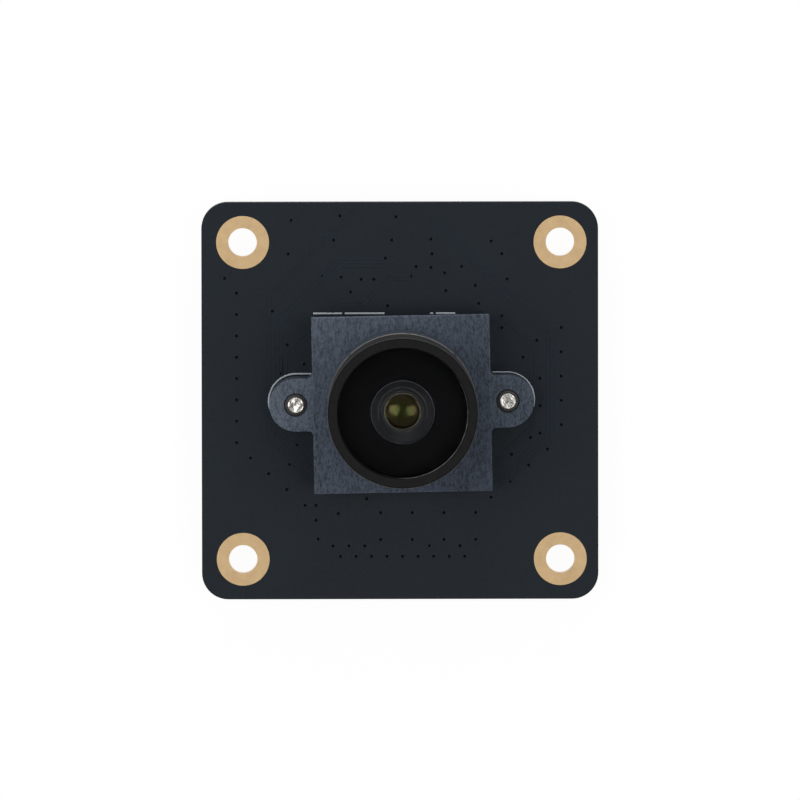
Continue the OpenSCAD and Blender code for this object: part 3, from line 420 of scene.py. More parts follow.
def tantalum_finish(color, band_y):
    """Ochre moulding with the dark band that marks one end."""
    finish = Finish("tantalum_epoxy", color, 0.5, level=0.35)
    case = finish.vary(finish.noise(6, 3), 0.12)
    band = finish.remap(finish.axis("Y"), band_y, band_y + 0.05)
    finish.paint(finish.mix(band, case, shade(color, 0.3)))
    finish.vary_roughness(finish.noise(3, 3), 0.43, 0.57)
    finish.bump(finish.noise(16, 3, 0.6), 0.006, 0.6)
    return finish.material


def tin_finish(name, color, roughness=0.32):
    finish = Finish(name, color, roughness, 1.0)
    finish.vary(finish.noise(4, 4), 0.12)
    finish.vary_roughness(finish.noise(6, 3), roughness - 0.1, roughness + 0.14)
    finish.bump(finish.noise(7, 4, 0.6), 0.012, 0.5)
    return finish.material


def ceramic_finish(name, color, roughness=0.45):
    finish = Finish(name, color, roughness, level=0.4)
    finish.vary(finish.noise(9, 4, 0.7), 0.18)
    finish.bump(finish.cells(14), 0.006, 0.4)
    return finish.material


def lay_finishes(mesh, finishes, choose=None):
    """Gives a mesh its finishes; choose returns the place in them of a face's own."""
    mesh.materials.clear()
    for finish in finishes:
        mesh.materials.append(finish)
    for face in mesh.polygons:
        face.material_index = choose(face) if choose else 0


def dress(material, *nodes):
    """Gives CAD nodes their finish, with smooth round faces between sharp edges."""
    for name in nodes:
        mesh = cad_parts[name].data
        lay_finishes(mesh, [material])
        mesh.shade_smooth()
        mesh.set_sharp_from_angle(angle=math.radians(28))


# ---------- shapes ----------

def add_object(name, data):
    made = bpy.data.objects.new(name, data)
    bpy.context.scene.collection.objects.link(made)
    return made


def piece(name, shape, material, body=BOARD_BODY):
    """Turns a bmesh into an object that rides on a body."""
    bmesh.ops.recalc_face_normals(shape, faces=shape.faces)
    mesh = bpy.data.meshes.new(name)
    shape.to_mesh(mesh)
    shape.free()
    mesh.materials.append(material)
    mesh.shade_smooth()
    mesh.set_sharp_from_angle(angle=math.radians(40))
    made = add_object(name, mesh)
    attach(made, body)
    return made


def skin(shape, rings, caps=True):
    """Joins rings of vertices, one after another, into a closed skin."""
    for first, second in zip(rings, rings[1:]):
        for i in range(len(first)):
            j = (i + 1) % len(first)
            shape.faces.new((first[i], first[j], second[j], second[i]))
    if caps:
        shape.faces.new(rings[0])
        shape.faces.new(reversed(rings[-1]))


def mitres(points):
    """For each point of an open line in plan, the sideways step of a line one unit beside it."""
    flat = [Vector(p).to_2d() for p in points]
    ways = [(b - a).normalized() for a, b in zip(flat, flat[1:])]
    steps = []
    for i in range(len(flat)):
        before, after = ways[max(i - 1, 0)], ways[min(i, len(ways) - 1)]
        middle = (before + after).normalized()
        side = Vector((-middle.y, middle.x))
        steps.append(side / max(side.dot(Vector((-after.y, after.x))), 0.3))
    return flat, steps


def ridge(shape, points, width, height, base_z, up, shift=0.0):
    """Low ridge with sloped sides along a line on the board. Points are in metres."""
    flat, steps = mitres(points)
    slope = min(height, width / 4)
    section = [(-width / 2, 0), (slope - width / 2, height), (width / 2 - slope, height),
               (width / 2, 0)]
    rings = [
        [shape.verts.new((*(point + step * (shift + across)), base_z + up * rise))
         for across, rise in section]
        for point, step in zip(flat, steps)
    ]
    skin(shape, rings)


def full_turn(steps):
    """Angles at equal steps around a circle."""
    return [2 * math.pi * i / steps for i in range(steps)]


def turned(shape, section, steps, centre=Vector((0, 0))):
    """Ring about an upright axis, whose section is a loop of (radius, z) points."""
    rings = [
        [shape.verts.new((centre.x + r * math.cos(a), centre.y + r * math.sin(a), z))
         for r, z in section]
        for a in full_turn(steps)
    ]
    skin(shape, rings + rings[:1], caps=False)


def arch(rim, base_z, rise, steps):
    """Section of a spherical cap from near its top out to its rim, as (radius, z) points."""
    ball = (rim * rim + rise * rise) / (2 * rise)
    half = math.asin(rim / ball)
    angles = (half * max(i, 0.04) / steps for i in range(steps + 1))
    return [(ball * math.sin(a), base_z + rise - ball * (1 - math.cos(a))) for a in angles]


def lathe(shape, section, steps, centre=Vector((0, 0))):
    """Solid about an upright axis from a section of (radius, z) points, with flat ends."""
    skin(shape, [
        [shape.verts.new((centre.x + r * math.cos(a), centre.y + r * math.sin(a), z))
         for a in full_turn(steps)]
        for r, z in section
    ])


def glass_blank(name, node, front, back):
    """A CAD glass turned finer, so that it refracts cleanly.

    front is the radius of its dome and the node whose foot is level with the dome's edge;
    back is the radius and the depth of the hollow behind.
    """
    low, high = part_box(node)
    edge_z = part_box(front[1])[0].z
    # Faces that would touch the seat stand off it, since rays would meet both at once
    gap = mm(0.01)
    side, back_z = high.x - gap, low.z + gap
    shape = bmesh.new()
    lathe(shape, arch(front[0], edge_z, high.z - edge_z, 24) + [(side, edge_z), (side, back_z)]
          + arch(back[0], back_z, low.z + back[1] - back_z, 48)[::-1], 96)
    made = piece(name, shape, None, LENS_BODY)
    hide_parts(node)
    return made


def dome(shape, centre, radius, base_z, rise, up, steps):
    """Low rounded disc that stands on a face."""
    lathe(shape, [(radius * out, base_z + up * rise * height)
                  for out, height in ((1, 0), (0.97, 0.5), (0.8, 0.85), (0.4, 1))], steps, centre)


def islands(node):
    """Lowest and highest corner of each separate solid in a CAD node, in metres."""
    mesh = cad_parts[node].data
    index, parent = {}, []

    def root(i):
        while parent[i] != i:
            parent[i] = parent[parent[i]]
            i = parent[i]
        return i

    keys = []
    for vertex in mesh.vertices:
        key = tuple(round(c * 1e7) for c in vertex.co)
        if key not in index:
            index[key] = len(parent)
            parent.append(index[key])
        keys.append(index[key])
    for edge in mesh.edges:
        a, b = (root(keys[i]) for i in edge.vertices)
        parent[a] = b
    groups = {}
    for vertex, key in zip(mesh.vertices, keys):
        groups.setdefault(root(key), []).append(vertex.co)
    boxes = [
        (Vector(min(p[i] for p in points) for i in range(3)),
         Vector(max(p[i] for p in points) for i in range(3)))
        for points in groups.values()
    ]
    return sorted(boxes, key=lambda box: tuple(round(c, 6) for c in box[0]))


def skirt(shape, low, high, spread, rise):
    """Concave fillet of solder around the foot of a box on the back."""
    rings = []
    for out, height in ((1, 0), (0.45, 0.18), (0.15, 0.5), (0.02, 1)):
        step = spread * out
        x0, y0, x1, y1 = low.x - step, low.y - step, high.x + step, high.y + step
        z = BACK_Z - rise * height
        rings.append([shape.verts.new((x, y, z))
                      for x, y in ((x0, y0), (x1, y0), (x1, y1), (x0, y1))])
    skin(shape, rings)


# ---------- stage ----------

FLOOR_RADIUS = 1.2
# The floor glows a little over white, so that only a faint part of a shadow is left
FLOOR_GLOW, SHADOW_KEPT = 1.05, 0.1
# Softboxes: the light's setting, azimuth and elevation in degrees, width and height
SOFTBOXES = (
    ("left_light", 176, 71, 0.42, 0.34),
    ("right_light", -3, 71, 0.42, 0.34),
    ("upper_light", 92, 26, 0.5, 0.3),
)
SOFTBOX_DISTANCE = 0.9
# Turn of the camera about X, Y and its own axis, in degrees, from square on
CAMERA_TURN = (-3.063, -0.306, -0.09)


def softbox(name, azimuth, elevation, width, height, level):
    """Oval lamp that lights a white surface facing it to the given level."""
    lamp = bpy.data.lights.new(name, "AREA")
    lamp.shape, lamp.size, lamp.size_y = "ELLIPSE", width, height
    lamp.energy = math.pi ** 2 * level * SOFTBOX_DISTANCE ** 2
    a, e = math.radians(azimuth), math.radians(elevation)
    away = Vector((math.cos(a) * math.cos(e), math.sin(a) * math.cos(e), math.sin(e)))
    made = add_object(name, lamp)
    made.location = away * SOFTBOX_DISTANCE
    made.rotation_mode = "QUATERNION"
    made.rotation_quaternion = away.to_track_quat("Z", "Y")


def floor_material(color):
    """Matt floor, nearly white to the camera whatever the light, and clear from below."""
    material = bpy.data.materials.new("pale_floor")
    material.use_nodes = True
    material.node_tree.nodes.clear()
    graph = Graph(material.node_tree)
    rays = graph.node("LightPath", {}).outputs
    seen = graph.math("MAXIMUM", rays["Is Camera Ray"], rays["Is Glossy Ray"])
    seen = graph.math("MAXIMUM", seen, rays["Is Transmission Ray"])
    matt = graph.node("BsdfDiffuse", {"Color": shade(color, 1)}).outputs[0]
    glow = graph.node("Emission", {"Strength": FLOOR_GLOW}).outputs[0]
    lit = graph.node("MixShader", {
        0: graph.math("MULTIPLY", seen, 1 - SHADOW_KEPT), 1: matt, 2: glow}).outputs[0]
    clear = graph.node("BsdfTransparent", {}).outputs[0]
    below = graph.node("NewGeometry", {}).outputs["Backfacing"]
    one_way = graph.node("MixShader", {0: below, 1: lit, 2: clear}).outputs[0]
    graph.node("OutputMaterial", {"Surface": one_way})
    return material


def make_world(settings):
    """White all round and greyer overhead, as in a light tent with an open top."""
    world = bpy.data.worlds.new("light_tent")
    bpy.context.scene.world = world
    world.use_nodes = True
    graph = Graph(world.node_tree)
    way = graph.node("TexCoord", {}).outputs["Generated"]
    level = graph.node("MapRange", {
        "Value": graph.node("SeparateXYZ", {"Vector": way}).outputs["Z"],
        "From Min": 0.55, "From Max": 0.9, "To Min": settings.side_sky, "To Max": settings.top_sky,
    }, interpolation_type="SMOOTHSTEP").outputs["Result"]
    graph.set(world.node_tree.nodes["Background"], {"Color": (1, 1, 1, 1), "Strength": level})


def make_floor(settings):
    shape = bmesh.new()
    bmesh.ops.create_circle(shape, cap_ends=True, segments=64, radius=FLOOR_RADIUS)
    mesh = bpy.data.meshes.new("floor")
    shape.to_mesh(mesh)
    shape.free()
    mesh.materials.append(floor_material(settings.floor_color))
    made = add_object("floor", mesh)
    made.location.z = CAD_BOX[0].z


def make_camera(settings):
    """Long lens, almost square on: it stands a little towards the board's upper edge."""
    turn = Euler([math.radians(a) for a in CAMERA_TURN], "ZXY").to_matrix()
    camera = bpy.data.cameras.new("camera")
    camera.lens, camera.sensor_width = settings.focal_mm, 36
    camera.shift_x, camera.shift_y = -0.0018, -0.0003
    camera.clip_start, camera.clip_end = 0.05, 20
    made = add_object("camera", camera)
    place = Matrix.Translation(turn.col[2] * settings.camera_distance)
    made.matrix_world = place @ turn.to_4x4()
    bpy.context.scene.camera = made


class CAMERA_OT_stage(bpy.types.Operator):
    """Makes the camera, the floor, the soft light and the surroundings"""

    bl_idname = "camera_module.stage"
    bl_label = "Stage"

    def execute(self, context):
        settings = context.scene.camera_stage
        context.scene.view_settings.view_transform = "Standard"
        make_camera(settings)
        make_floor(settings)
        make_world(settings)
        for name, *place in SOFTBOXES:
            softbox(name, *place, getattr(settings, name))
        return {"FINISHED"}


# ---------- board ----------

# Track bundles on the front: how many tracks, and the first one's corners in mm
FRONT_TRACKS = [
    (2, [(-4.6, 18.1), (-12.8, 9.9), (-12.8, -3.6), (-8.7, -7.7)]),
    (3, [(-1.7, 13.4), (-6.1, 13.4), (-12.0, 7.5), (-12.0, -3.3), (-8.6, -6.7)]),
    (2, [(0.9, 11.8), (-1.3, 11.8), (-3.6, 9.5), (-6.1, 9.2), (-7.0, 8.3)]),
    (2, [(-8.6, 6.8), (-11.2, 4.2), (-11.2, -2.4), (-8.8, -4.8)]),
    (3, [(2.6, 17.1), (13.8, 5.9), (13.8, -2.9), (8.7, -8.0)]),
    (2, [(9.5, 7.9), (12.2, 5.2), (12.2, -2.4), (8.6, -6.0)]),
]

# Tracks on the back, from the connector and the supply parts to the processor
BACK_TRACKS = [
    (4, [(-6.4, 1.8), (-8.0, 3.4), (-9.4, 3.4)]),
    (3, [(-6.4, -2.6), (-8.6, -4.8), (-8.6, -8.4), (-7.2, -9.8)]),
    (3, [(6.4, -1.4), (8.0, -3.0), (12.6, -3.0), (14.6, -5.0), (14.6, -8.0)]),
    (2, [(6.4, 3.6), (7.7, 4.9), (7.7, 7.6), (8.3, 8.2)]),
    (2, [(15.6, 10.6), (15.6, -6.4), (14.8, -7.2)]),
    (2, [(-15.9, 11.2), (-15.9, -4.8), (-15.2, -5.5)]),
    (3, [(-8.8, 10.9), (-6.4, 8.5), (-5.6, 8.5)]),
]


def row(count, first, step):
    """Places at equal steps from the first one, in mm."""
    return [(first[0] + i * step[0], first[1] + i * step[1]) for i in range(count)]


# Vias, in mm: rows where the tracks run side by side, and single ones between them
VIAS = [
    *row(8, (-15.6, 10.2), (0, -2.02)), *row(5, (15.1, 6.9), (0, -2.3)),
    *row(3, (13.1, 2.1), (0, -2.6)), *row(4, (13.8, -4.6), (-1.78, -1.52)),
    *row(4, (-14.3, -5.4), (1.72, -1.5)), *row(4, (-2.0, -10.6), (3, 0)),
    *row(4, (-2.0, -13.15), (3, 0)), *row(3, (-6.5, -13.75), (1.5, 0)),
    *row(9, (-5.8, -14.75), (1.47, 0)),
    (-10.4, 17.1), (-5.8, 17.5), (-0.5, 17.4), (-6.4, 15.2), (-0.9, 15.2), (2.8, 15.3),
    (-10.7, 13.9), (2.9, 13.9), (8.5, 15.1), (9.5, 13.9), (-1.5, 13.5), (1.4, 12.7),
    (2.8, 12.6), (4.1, 12.1), (5.7, 12.7), (-7.5, 11.9), (-5.7, 11.7), (-3.8, 11.5),
    (-2.6, 11.5), (0.9, 11.8), (-16.7, 11.6), (10.0, 11.5), (7.0, 10.9), (-4.8, 10.3),
    (4.2, 10.4), (7.3, 9.2), (-3.9, 9.1), (-1.3, 9.0), (-12.2, 8.5), (9.5, 8.0),
    (9.5, 6.9), (12.8, 5.7), (11.5, 4.1), (-10.8, 5.3), (-9.2, 3.5), (-11.4, 2.6),
    (12.2, -3.5), (10.4, -5.1), (-9.9, -4.2), (-10.6, -6.0), (-8.1, -9.9), (-8.1, -11.3),
    (-7.9, -13.1), (-6.0, -10.7), (-3.3, -9.3), (2.6, -13.75), (5.5, -13.75),
]

# The holder's ears: distance from the axis and radius, in mm
EAR_X, EAR_R = 10.0, 2.5


def arc(centre, radius, start, end, count=14):
    """Points along an arc, with angles in degrees and lengths in mm."""
    angles = (math.radians(start + (end - start) * i / count) for i in range(count + 1))
    return [(centre[0] + radius * math.cos(a), centre[1] + radius * math.sin(a)) for a in angles]


# Printed outline of the holder, of which only parts show beside it, in mm
INK_LINES = [
    [(-8.34, 8.27), (-5.62, 8.27)], [(-5.35, 8.27), (-1.6, 8.27)],
    [(2.72, 8.27), (3.0, 8.27)], [(3.27, 8.27), (5.09, 8.27)],
    arc((-EAR_X, 0), EAR_R + 0.06, 197, 90) + [(-8.55, EAR_R + 0.06), (-8.48, 2.2)],
    [(8.6, EAR_R + 0.17)] + arc((EAR_X, 0.11), EAR_R + 0.06, 90, -16),
]

# Parts on the back with printed corners: node, gap and length of each leg, in mm
MARKED_PARTS = (
    ("processor", 0.35, 0.7), ("flash_chip", 0.2, 0.6), ("regulators", 0.2, 0.4),
    ("choke_shield", 0.3, 1.0), ("tantalum_capacitors", 0.3, 0.6), ("crystal_base", 0.3, 0.6),
)
# Printed dots beside the first contact of the chips, the crystal and the connector, in mm
FIRST_PINS = ((-5.9, 6.4), (-15.6, 10.2), (11.9, 8.9), (7.3, -11.9))


def corner_marks(shape, low, high, gap, leg, settings):
    """Printed angles around the corners of a part on the back."""
    for x, turn_x in ((low.x - gap, 1), (high.x + gap, -1)):
        for y, turn_y in ((low.y - gap, 1), (high.y + gap, -1)):
            ridge(shape, [(x + turn_x * leg, y), (x, y), (x, y + turn_y * leg)],
                  settings.ink_width, settings.ink_height, BACK_Z, -1)


def lay_tracks(shape, bundles, settings, base_z, up):
    for count, corners in bundles:
        for i in range(count):
            ridge(shape, [mm(*c) for c in corners], settings.track_width,
                  settings.track_height, base_z, up, i * settings.track_pitch)


def via_ring(shape, place, settings, base_z, up):
    outer, inner = settings.via_d / 2, settings.via_hole_d / 2
    rise = settings.track_height * 0.8
    section = [(inner, base_z), (inner, base_z + up * rise * 0.6),
               (inner + 0.3 * (outer - inner), base_z + up * rise), (outer, base_z)]
    turned(shape, section, 18, place)


class CAMERA_OT_board(bpy.types.Operator):
    """Finishes the board and lays its tracks, vias and printed lines"""

    bl_idname = "camera_module.board"
    bl_label = "Board"

    def execute(self, context):
        settings = context.scene.camera_board
        mask = solder_mask_finish("solder_mask", settings.mask_color, settings.edge_color)
        dress(mask, "board")
        dress(gold_finish(settings.gold_color), "plated_holes")
        raised = solder_mask_finish("mask_over_copper", [c * 1.35 for c in settings.mask_color],
                                    settings.edge_color)
        tracks = bmesh.new()
        lay_tracks(tracks, FRONT_TRACKS, settings, TOP_Z, 1)
        lay_tracks(tracks, BACK_TRACKS, settings, BACK_Z, -1)
        piece("board_tracks", tracks, raised)
        rings, holes = bmesh.new(), bmesh.new()
        for x, y in VIAS:
            place = mm(x, y)
            for base_z, up in ((TOP_Z, 1), (BACK_Z, -1)):
                via_ring(rings, place, settings, base_z, up)
                dome(holes, place, settings.via_hole_d / 2, base_z, mm(0.004), up, 14)
        piece("via_lands", rings, raised)
        # Painted shade: near-black caps over the via holes stand in for the dark inside them
        hole = Finish("via_hole", (0.0015, 0.0015, 0.0018), 0.7, level=0.1)
        hole.bump(hole.noise(12), 0.004)
        piece("via_holes", holes, hole.material)
        ink = bmesh.new()
        for line in INK_LINES:
            ridge(ink, [mm(*p) for p in line], settings.ink_width, settings.ink_height, TOP_Z, 1)
        printed = ink_finish(settings.ink_color)
        piece("printed_outline", ink, printed)
        marks = bmesh.new()
        for node, gap, leg in MARKED_PARTS:
            for low, high in islands(node):
                corner_marks(marks, low, high, mm(gap), mm(leg), settings)
        for x, y in FIRST_PINS:
            dome(marks, mm(x, y), mm(0.17), BACK_Z, settings.ink_height, -1, 20)
        piece("printed_corners", marks, printed)
        return {"FINISHED"}


# ---------- holder ----------

def torn_tip(shape, centre, base_z, settings):
    """Uneven face that the cutter left on a screw's end, with a pit beside its middle."""
    rings, lines = 12, []
    for ring in range(rings, 0, -1):
        radius = settings.tip_d / 2 * ring / rings
        line = []
        for a in full_turn(40):
            x, y = radius * math.cos(a), radius * math.sin(a)
            place = Vector((centre.x + x, centre.y + y, 0)) * 1000
            lump = noise.noise(place * 2.3) * 0.6 + noise.noise(place * 5.1) * 0.25
            pit = math.exp(-((x + mm(0.2)) ** 2 + (y + mm(0.14)) ** 2) / mm(0.22) ** 2)
            rim = min(1.0, (rings - ring) / 2)
            height = settings.tip_rise * (0.55 + rim * (lump - 0.9 * pit) * 0.5)
            line.append(shape.verts.new((centre.x + x, centre.y + y, base_z + max(height, 0))))
        lines.append(line)
    foot = [shape.verts.new((v.co.x, v.co.y, base_z)) for v in lines[0]]
    skin(shape, [foot] + lines)


class CAMERA_OT_holder(bpy.types.Operator):
    """Finishes the lens holder and its screws"""

    bl_idname = "camera_module.holder"
    bl_label = "Lens holder"

    def execute(self, context):
        settings = context.scene.camera_holder
        dress(holder_finish(settings), "lens_holder")
        screws = screw_finish("cut_steel", settings.screw_color)
        dress(screws, "holder_screws")
        tips, threads = bmesh.new(), bmesh.new()
        core, outer, tip = mm(0.4), settings.screw_d / 2, settings.tip_d / 2 + mm(0.02)
        for low, high in islands("holder_screws"):
            centre = (low + high) / 2
            torn_tip(tips, centre, high.z, settings)
            foot_z, edge_z, top_z = (high.z - mm(depth) for depth in (0.5, 0.17, 0.06))
            lathe(threads, [(core, foot_z), (outer, foot_z), (outer, edge_z), (tip, top_z),
                            (core, top_z)], 48, centre)
        piece("torn_tips", tips, screws)
        # Painted shade: the thread ring round each cut tip is dark, as if in shade in the ear's
        # hole
        piece("worn_threads", threads,
              turned_finish("worn_thread", settings.thread_shade_color, 0.5, 0.6, 22, 0.03))
        return {"FINISHED"}


# ---------- lens ----------

class CAMERA_OT_lens(bpy.types.Operator):
    """Finishes the barrel, its rings and spacers, and the lock ring"""

    bl_idname = "camera_module.lens"
    bl_label = "Lens"

    def execute(self, context):
        settings = context.scene.camera_lens
        dress(turned_finish("anodised_barrel", settings.barrel_color, 0.5, level=0.12),
              "lens_barrel")
        dress(turned_finish("front_ring_black", settings.ring_color, 0.55, level=0.22),
              "front_ring")
        dress(turned_finish("lock_ring_metal", settings.lock_color, 0.3, 1.0, 5), "lock_ring")
        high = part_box("front_ring")[1]
        # Worn edges of the front ring, with a painted highlight on the inner edge's lower right
        # side
        glint = edge_wear_and_highlight_finish(settings.edge_color, settings.ring_opening * 1000)
        shape = bmesh.new()
        line, opening = settings.edge_line, settings.ring_opening
        turned(shape, [(opening - line / 2, high.z - line),
                       (opening + line / 2, high.z - line * 1.2),
                       (opening + line / 2, high.z)], 128)
        turned(shape, [(high.x - line / 2, high.z), (high.x - line, high.z - line),
                       (high.x, high.z - line)], 128)
        piece("worn_edges", shape, glint, LENS_BODY)
        dress(turned_finish("baffle_black", settings.inner_color, 0.5, level=0.4), "cone_baffle")
        dress(turned_finish("cell_black", settings.cell_color, 0.5, 1.0), "front_spacer",
              "middle_spacer", "rear_spacer", "rear_ring", "aperture_stop")
        return {"FINISHED"}


class CAMERA_OT_glasses(bpy.types.Operator):
    """Finishes the lens's glasses and its infrared filter"""

    bl_idname = "camera_module.glasses"
    bl_label = "Glasses"

    def execute(self, context):
        settings = context.scene.camera_lens
        paint = Finish("black_edge_paint", (0.0024, 0.0024, 0.0034), level=0.08)
        paint.vary(paint.noise(2), 0.2)
        ground = Finish("ground_line", (0.26, 0.28, 0.34), 0.5, level=0.2)
        ground.vary(ground.noise(9), 0.2)
        dome = glass_finish("front_glass", 1.25, (0.05, 0.05, 0.06))
        hollow = glass_finish("front_glass_hollow", 1.32, (0.1, 0.1, 0.1))
        slope = glass_finish("front_glass_slope", 1.1, (0.2, 0.2, 0.25))
        bowl_r, bevel = settings.bowl_rim, settings.rim_bevel
        painted_r = bowl_r - settings.paint_lap

        def front_choice(face):
            """Dome, black edge and back, ground line, slope and middle of the hollow."""
            away = Vector(face.center[:2]).length
            if face.normal.z > 0.1:
                return 0
            if away > painted_r:
                return 1
            return 2 if away > painted_r - bevel else 3 if away > bowl_r * 0.75 else 4

        front = glass_blank("domed_glass", "front_glass", (settings.dome_rim, "front_ring"),
                            (bowl_r, settings.bowl_depth))
        lay_finishes(front.data, (dome, paint.material, ground.material, slope, hollow),
                     front_choice)

        inner = glass_finish("inner_glass", 1.6, (0.08, 0.1, 0.05), (0.93, 0.97, 0.9), 0.25)
        dress(inner, "third_glass", "doublet_crown", "doublet_flint", "rear_glass")
        coated = coated_finish(settings.coat_color, settings.coat_edge_color)
        second = glass_blank("second_meniscus", "second_glass",
                             (settings.second_rim, "cone_baffle"),
                             (settings.second_bowl, settings.second_depth))
        lay_finishes(second.data, (inner, coated), lambda face: 1 if face.normal.z > 0.5 else 0)

        # Painted highlights on the edges of the baffle's lip and of the step around it
        edges = Finish("worn_lip_edge", (0.26, 0.26, 0.2), 0.4, 0.9)
        edges.vary(edges.noise(3), 0.3)
        shape = bmesh.new()
        lip_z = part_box("cone_baffle")[0].z + mm(0.12)
        for radius, base_z in ((settings.lip_radius, lip_z),
                               (settings.lip_step, lip_z + mm(0.15))):
            outer, low_z, high_z = radius + mm(0.04), base_z - mm(0.02), base_z + mm(0.008)
            turned(shape, [(radius, low_z), (outer, low_z), (outer, high_z), (radius, high_z)], 96)
        piece("lip_edges", shape, edges.material, LENS_BODY)
        dress(glass_finish("filter_glass", 1.5, (0.5, 0.4, 0.4), (0.7, 0.95, 0.9)),
              "infrared_filter")
        return {"FINISHED"}


# ---------- sensor ----------

class CAMERA_OT_sensor(bpy.types.Operator):
    """Finishes the image sensor under the lens"""

    bl_idname = "camera_module.sensor"
    bl_label = "Sensor"

    def execute(self, context):
        dress(ceramic_finish("sensor_ceramic", (0.045, 0.035, 0.03)), "sensor_package")
        die = Finish("silicon", (0.2, 0.24, 0.3), 0.15, 1.0)
        die.vary(die.noise(20), 0.2)
        dress(die.material, "sensor_die")
        dress(glass_finish("cover_glass", 1.5, (0.5, 0.5, 0.5)), "sensor_window")
        return {"FINISHED"}


# ---------- back ----------

# Leads and the bodies they come out of, with the foot's length and the spread of its solder
SOLDERED_LEADS = (
    ("processor_leads", "processor", 0.45, 0.045), ("flash_leads", "flash_chip", 0.55, 0.1),
    ("regulator_leads", "regulators", 0.4, 0.1), ("connector_pins", "connector_housing", 0.9, 0.1),
    ("connector_tabs", "connector_housing", 0.85, 0.1),
    ("tantalum_terminals", "tantalum_capacitors", 0.3, 0.1),
)


def lead_feet(leads, bodies, foot):
    """Box of the soldered end of each lead, the end away from the body that it comes out of."""
    for low, high in islands(leads):
        middle = (low + high) / 2
        body_low, body_high = min(bodies, key=lambda box: ((box[0] + box[1]) / 2 - middle).length)
        away = middle - (body_low + body_high) / 2
        gaps = [abs(away[i]) - (body_high[i] - body_low[i]) / 2 for i in (0, 1)]
        i = 0 if gaps[0] > gaps[1] else 1
        low, high = low.copy(), high.copy()
        if away[i] > 0:
            low[i] = max(low[i], high[i] - foot)
        else:
            high[i] = min(high[i], low[i] + foot)
        yield low, high


def wound_coil(shape, low, high, wire_r):
    """Wire wound in two layers inside the box of the CAD coil."""
    centre = (low + high) / 2
    outer = (high.x - low.x) / 2 - wire_r
    turns = int((high.z - low.z) / (2 * wire_r))
    pitch = (high.z - low.z - 2 * wire_r) / max(turns - 1, 1)
    for layer in range(2):
        radius = outer - layer * 1.8 * wire_r
        for turn in range(turns):
            z = low.z + wire_r + pitch * turn
            section = [(radius + wire_r * math.cos(a), z + wire_r * math.sin(a))
                       for a in full_turn(8)]
            turned(shape, section, 40, centre)


class CAMERA_OT_chips(bpy.types.Operator):
    """Finishes the chips and their leads"""

    bl_idname = "camera_module.chips"
    bl_label = "Chips"

    def execute(self, context):
        settings = context.scene.camera_back
        dress(moulded_finish("chip_epoxy", settings.epoxy_color), "processor", "flash_chip",
              "regulators")
        dress(tin_finish("tinned_lead", settings.tin_color), "processor_leads", "flash_leads",
              "regulator_leads")
        solder = bmesh.new()
        for leads, bodies, foot, spread in SOLDERED_LEADS:
            for low, high in lead_feet(leads, islands(bodies), mm(foot)):
                skirt(solder, low, high, mm(spread), mm(0.12))
        piece("lead_solder", solder, tin_finish("lead_solder", settings.tin_color, 0.24))
        return {"FINISHED"}


class CAMERA_OT_supply(bpy.types.Operator):
    """Finishes the inductor, the crystal and the tantalum capacitors, and winds the coil"""

    bl_idname = "camera_module.supply"
    bl_label = "Supply parts"

    def execute(self, context):
        settings = context.scene.camera_back
        dress(ceramic_finish("ferrite", (0.03, 0.03, 0.034), 0.6), "choke_shield", "choke_core")
        tin = tin_finish("supply_tin", settings.tin_color)
        dress(tin, "choke_terminals", "tantalum_terminals")
        dress(ceramic_finish("crystal_ceramic", (0.5, 0.42, 0.3)), "crystal_base")
        dress(tin_finish("crystal_lid_metal", (0.62, 0.63, 0.64), 0.28), "crystal_lid")
        dress(tantalum_finish(settings.tantalum_color, settings.band_y * 1000),
              "tantalum_capacitors")
        coil = bmesh.new()
        wound_coil(coil, *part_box("choke_winding"), settings.wire_d / 2)
        copper = Finish("enamelled_copper", settings.copper_color, 0.3, 1.0)
        copper.vary(copper.noise(3), 0.15)
        copper.bump(copper.noise(9), 0.004, 0.4)
        made = piece("wound_coil", coil, copper.material)
        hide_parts("choke_winding")
        return {"FINISHED"}


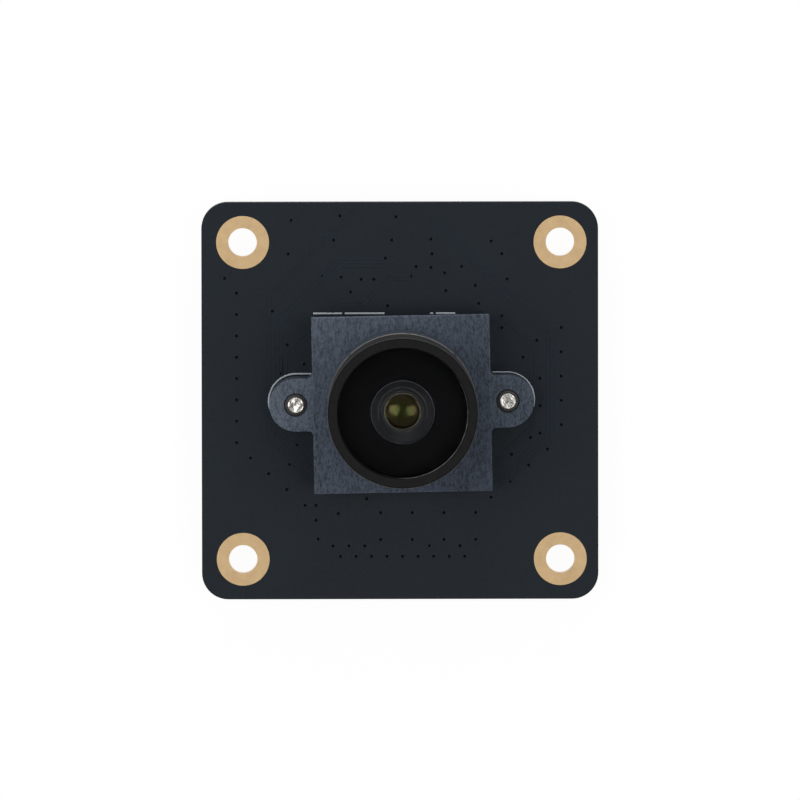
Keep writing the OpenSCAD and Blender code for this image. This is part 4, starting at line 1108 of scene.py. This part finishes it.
class CAMERA_OT_passives(bpy.types.Operator):
    """Finishes the chip capacitors and resistors and flows solder round their ends"""

    bl_idname = "camera_module.passives"
    bl_label = "Chip capacitors and resistors"

    def execute(self, context):
        settings = context.scene.camera_back
        dress(ceramic_finish("capacitor_ceramic", (0.33, 0.2, 0.115)), "ceramic_capacitors")
        dress(ceramic_finish("resistor_glaze", (0.016, 0.017, 0.02), 0.3), "chip_resistors")
        tin = tin_finish("chip_end_tin", settings.tin_color)
        dress(tin, "ceramic_capacitor_ends", "chip_resistor_ends")
        solder = bmesh.new()
        for node in ("ceramic_capacitor_ends", "chip_resistor_ends"):
            for low, high in islands(node):
                skirt(solder, low, high, settings.solder_spread, (high.z - low.z) * 0.55)
        piece("solder_fillets", solder, tin_finish("solder", settings.tin_color, 0.22))
        return {"FINISHED"}


class CAMERA_OT_connector(bpy.types.Operator):
    """Finishes the connector's housing, contacts and tabs"""

    bl_idname = "camera_module.connector"
    bl_label = "Connector"

    def execute(self, context):
        settings = context.scene.camera_back
        dress(moulded_finish("connector_nylon", settings.nylon_color, 0.42, 9, 0.01),
              "connector_housing")
        dress(tin_finish("contact_tin", settings.tin_color, 0.25), "connector_pins",
              "connector_tabs")
        return {"FINISHED"}


OPERATORS = (
    CAMERA_OT_stage, CAMERA_OT_board, CAMERA_OT_holder, CAMERA_OT_lens, CAMERA_OT_glasses,
    CAMERA_OT_sensor, CAMERA_OT_chips, CAMERA_OT_supply, CAMERA_OT_passives, CAMERA_OT_connector,
)


class CAMERA_PT_looks(bpy.types.Panel):
    """Lists the sizes and colours, and a button for each group of pieces"""

    bl_idname = "CAMERA_PT_looks"
    bl_label = "Board camera"
    bl_space_type = "VIEW_3D"
    bl_region_type = "UI"
    bl_category = "Board camera"

    def draw(self, context):
        for operator in OPERATORS:
            self.layout.operator(operator.bl_idname)
        for name, group in SETTINGS.items():
            box = self.layout.box()
            box.label(text=group.__doc__)
            for key in group.__annotations__:
                box.prop(getattr(context.scene, name), key)


def register():
    for name, group in SETTINGS.items():
        bpy.utils.register_class(group)
        setattr(bpy.types.Scene, name, PointerProperty(type=group))
    for operator in OPERATORS:
        bpy.utils.register_class(operator)
    bpy.utils.register_class(CAMERA_PT_looks)


def unregister():
    bpy.utils.unregister_class(CAMERA_PT_looks)
    for operator in reversed(OPERATORS):
        bpy.utils.unregister_class(operator)
    for name, group in SETTINGS.items():
        delattr(bpy.types.Scene, name)
        bpy.utils.unregister_class(group)


def main():
    register()
    for operator in OPERATORS:
        group, name = operator.bl_idname.split(".")
        getattr(getattr(bpy.ops, group), name)()


if __name__ == "__main__":
    main()
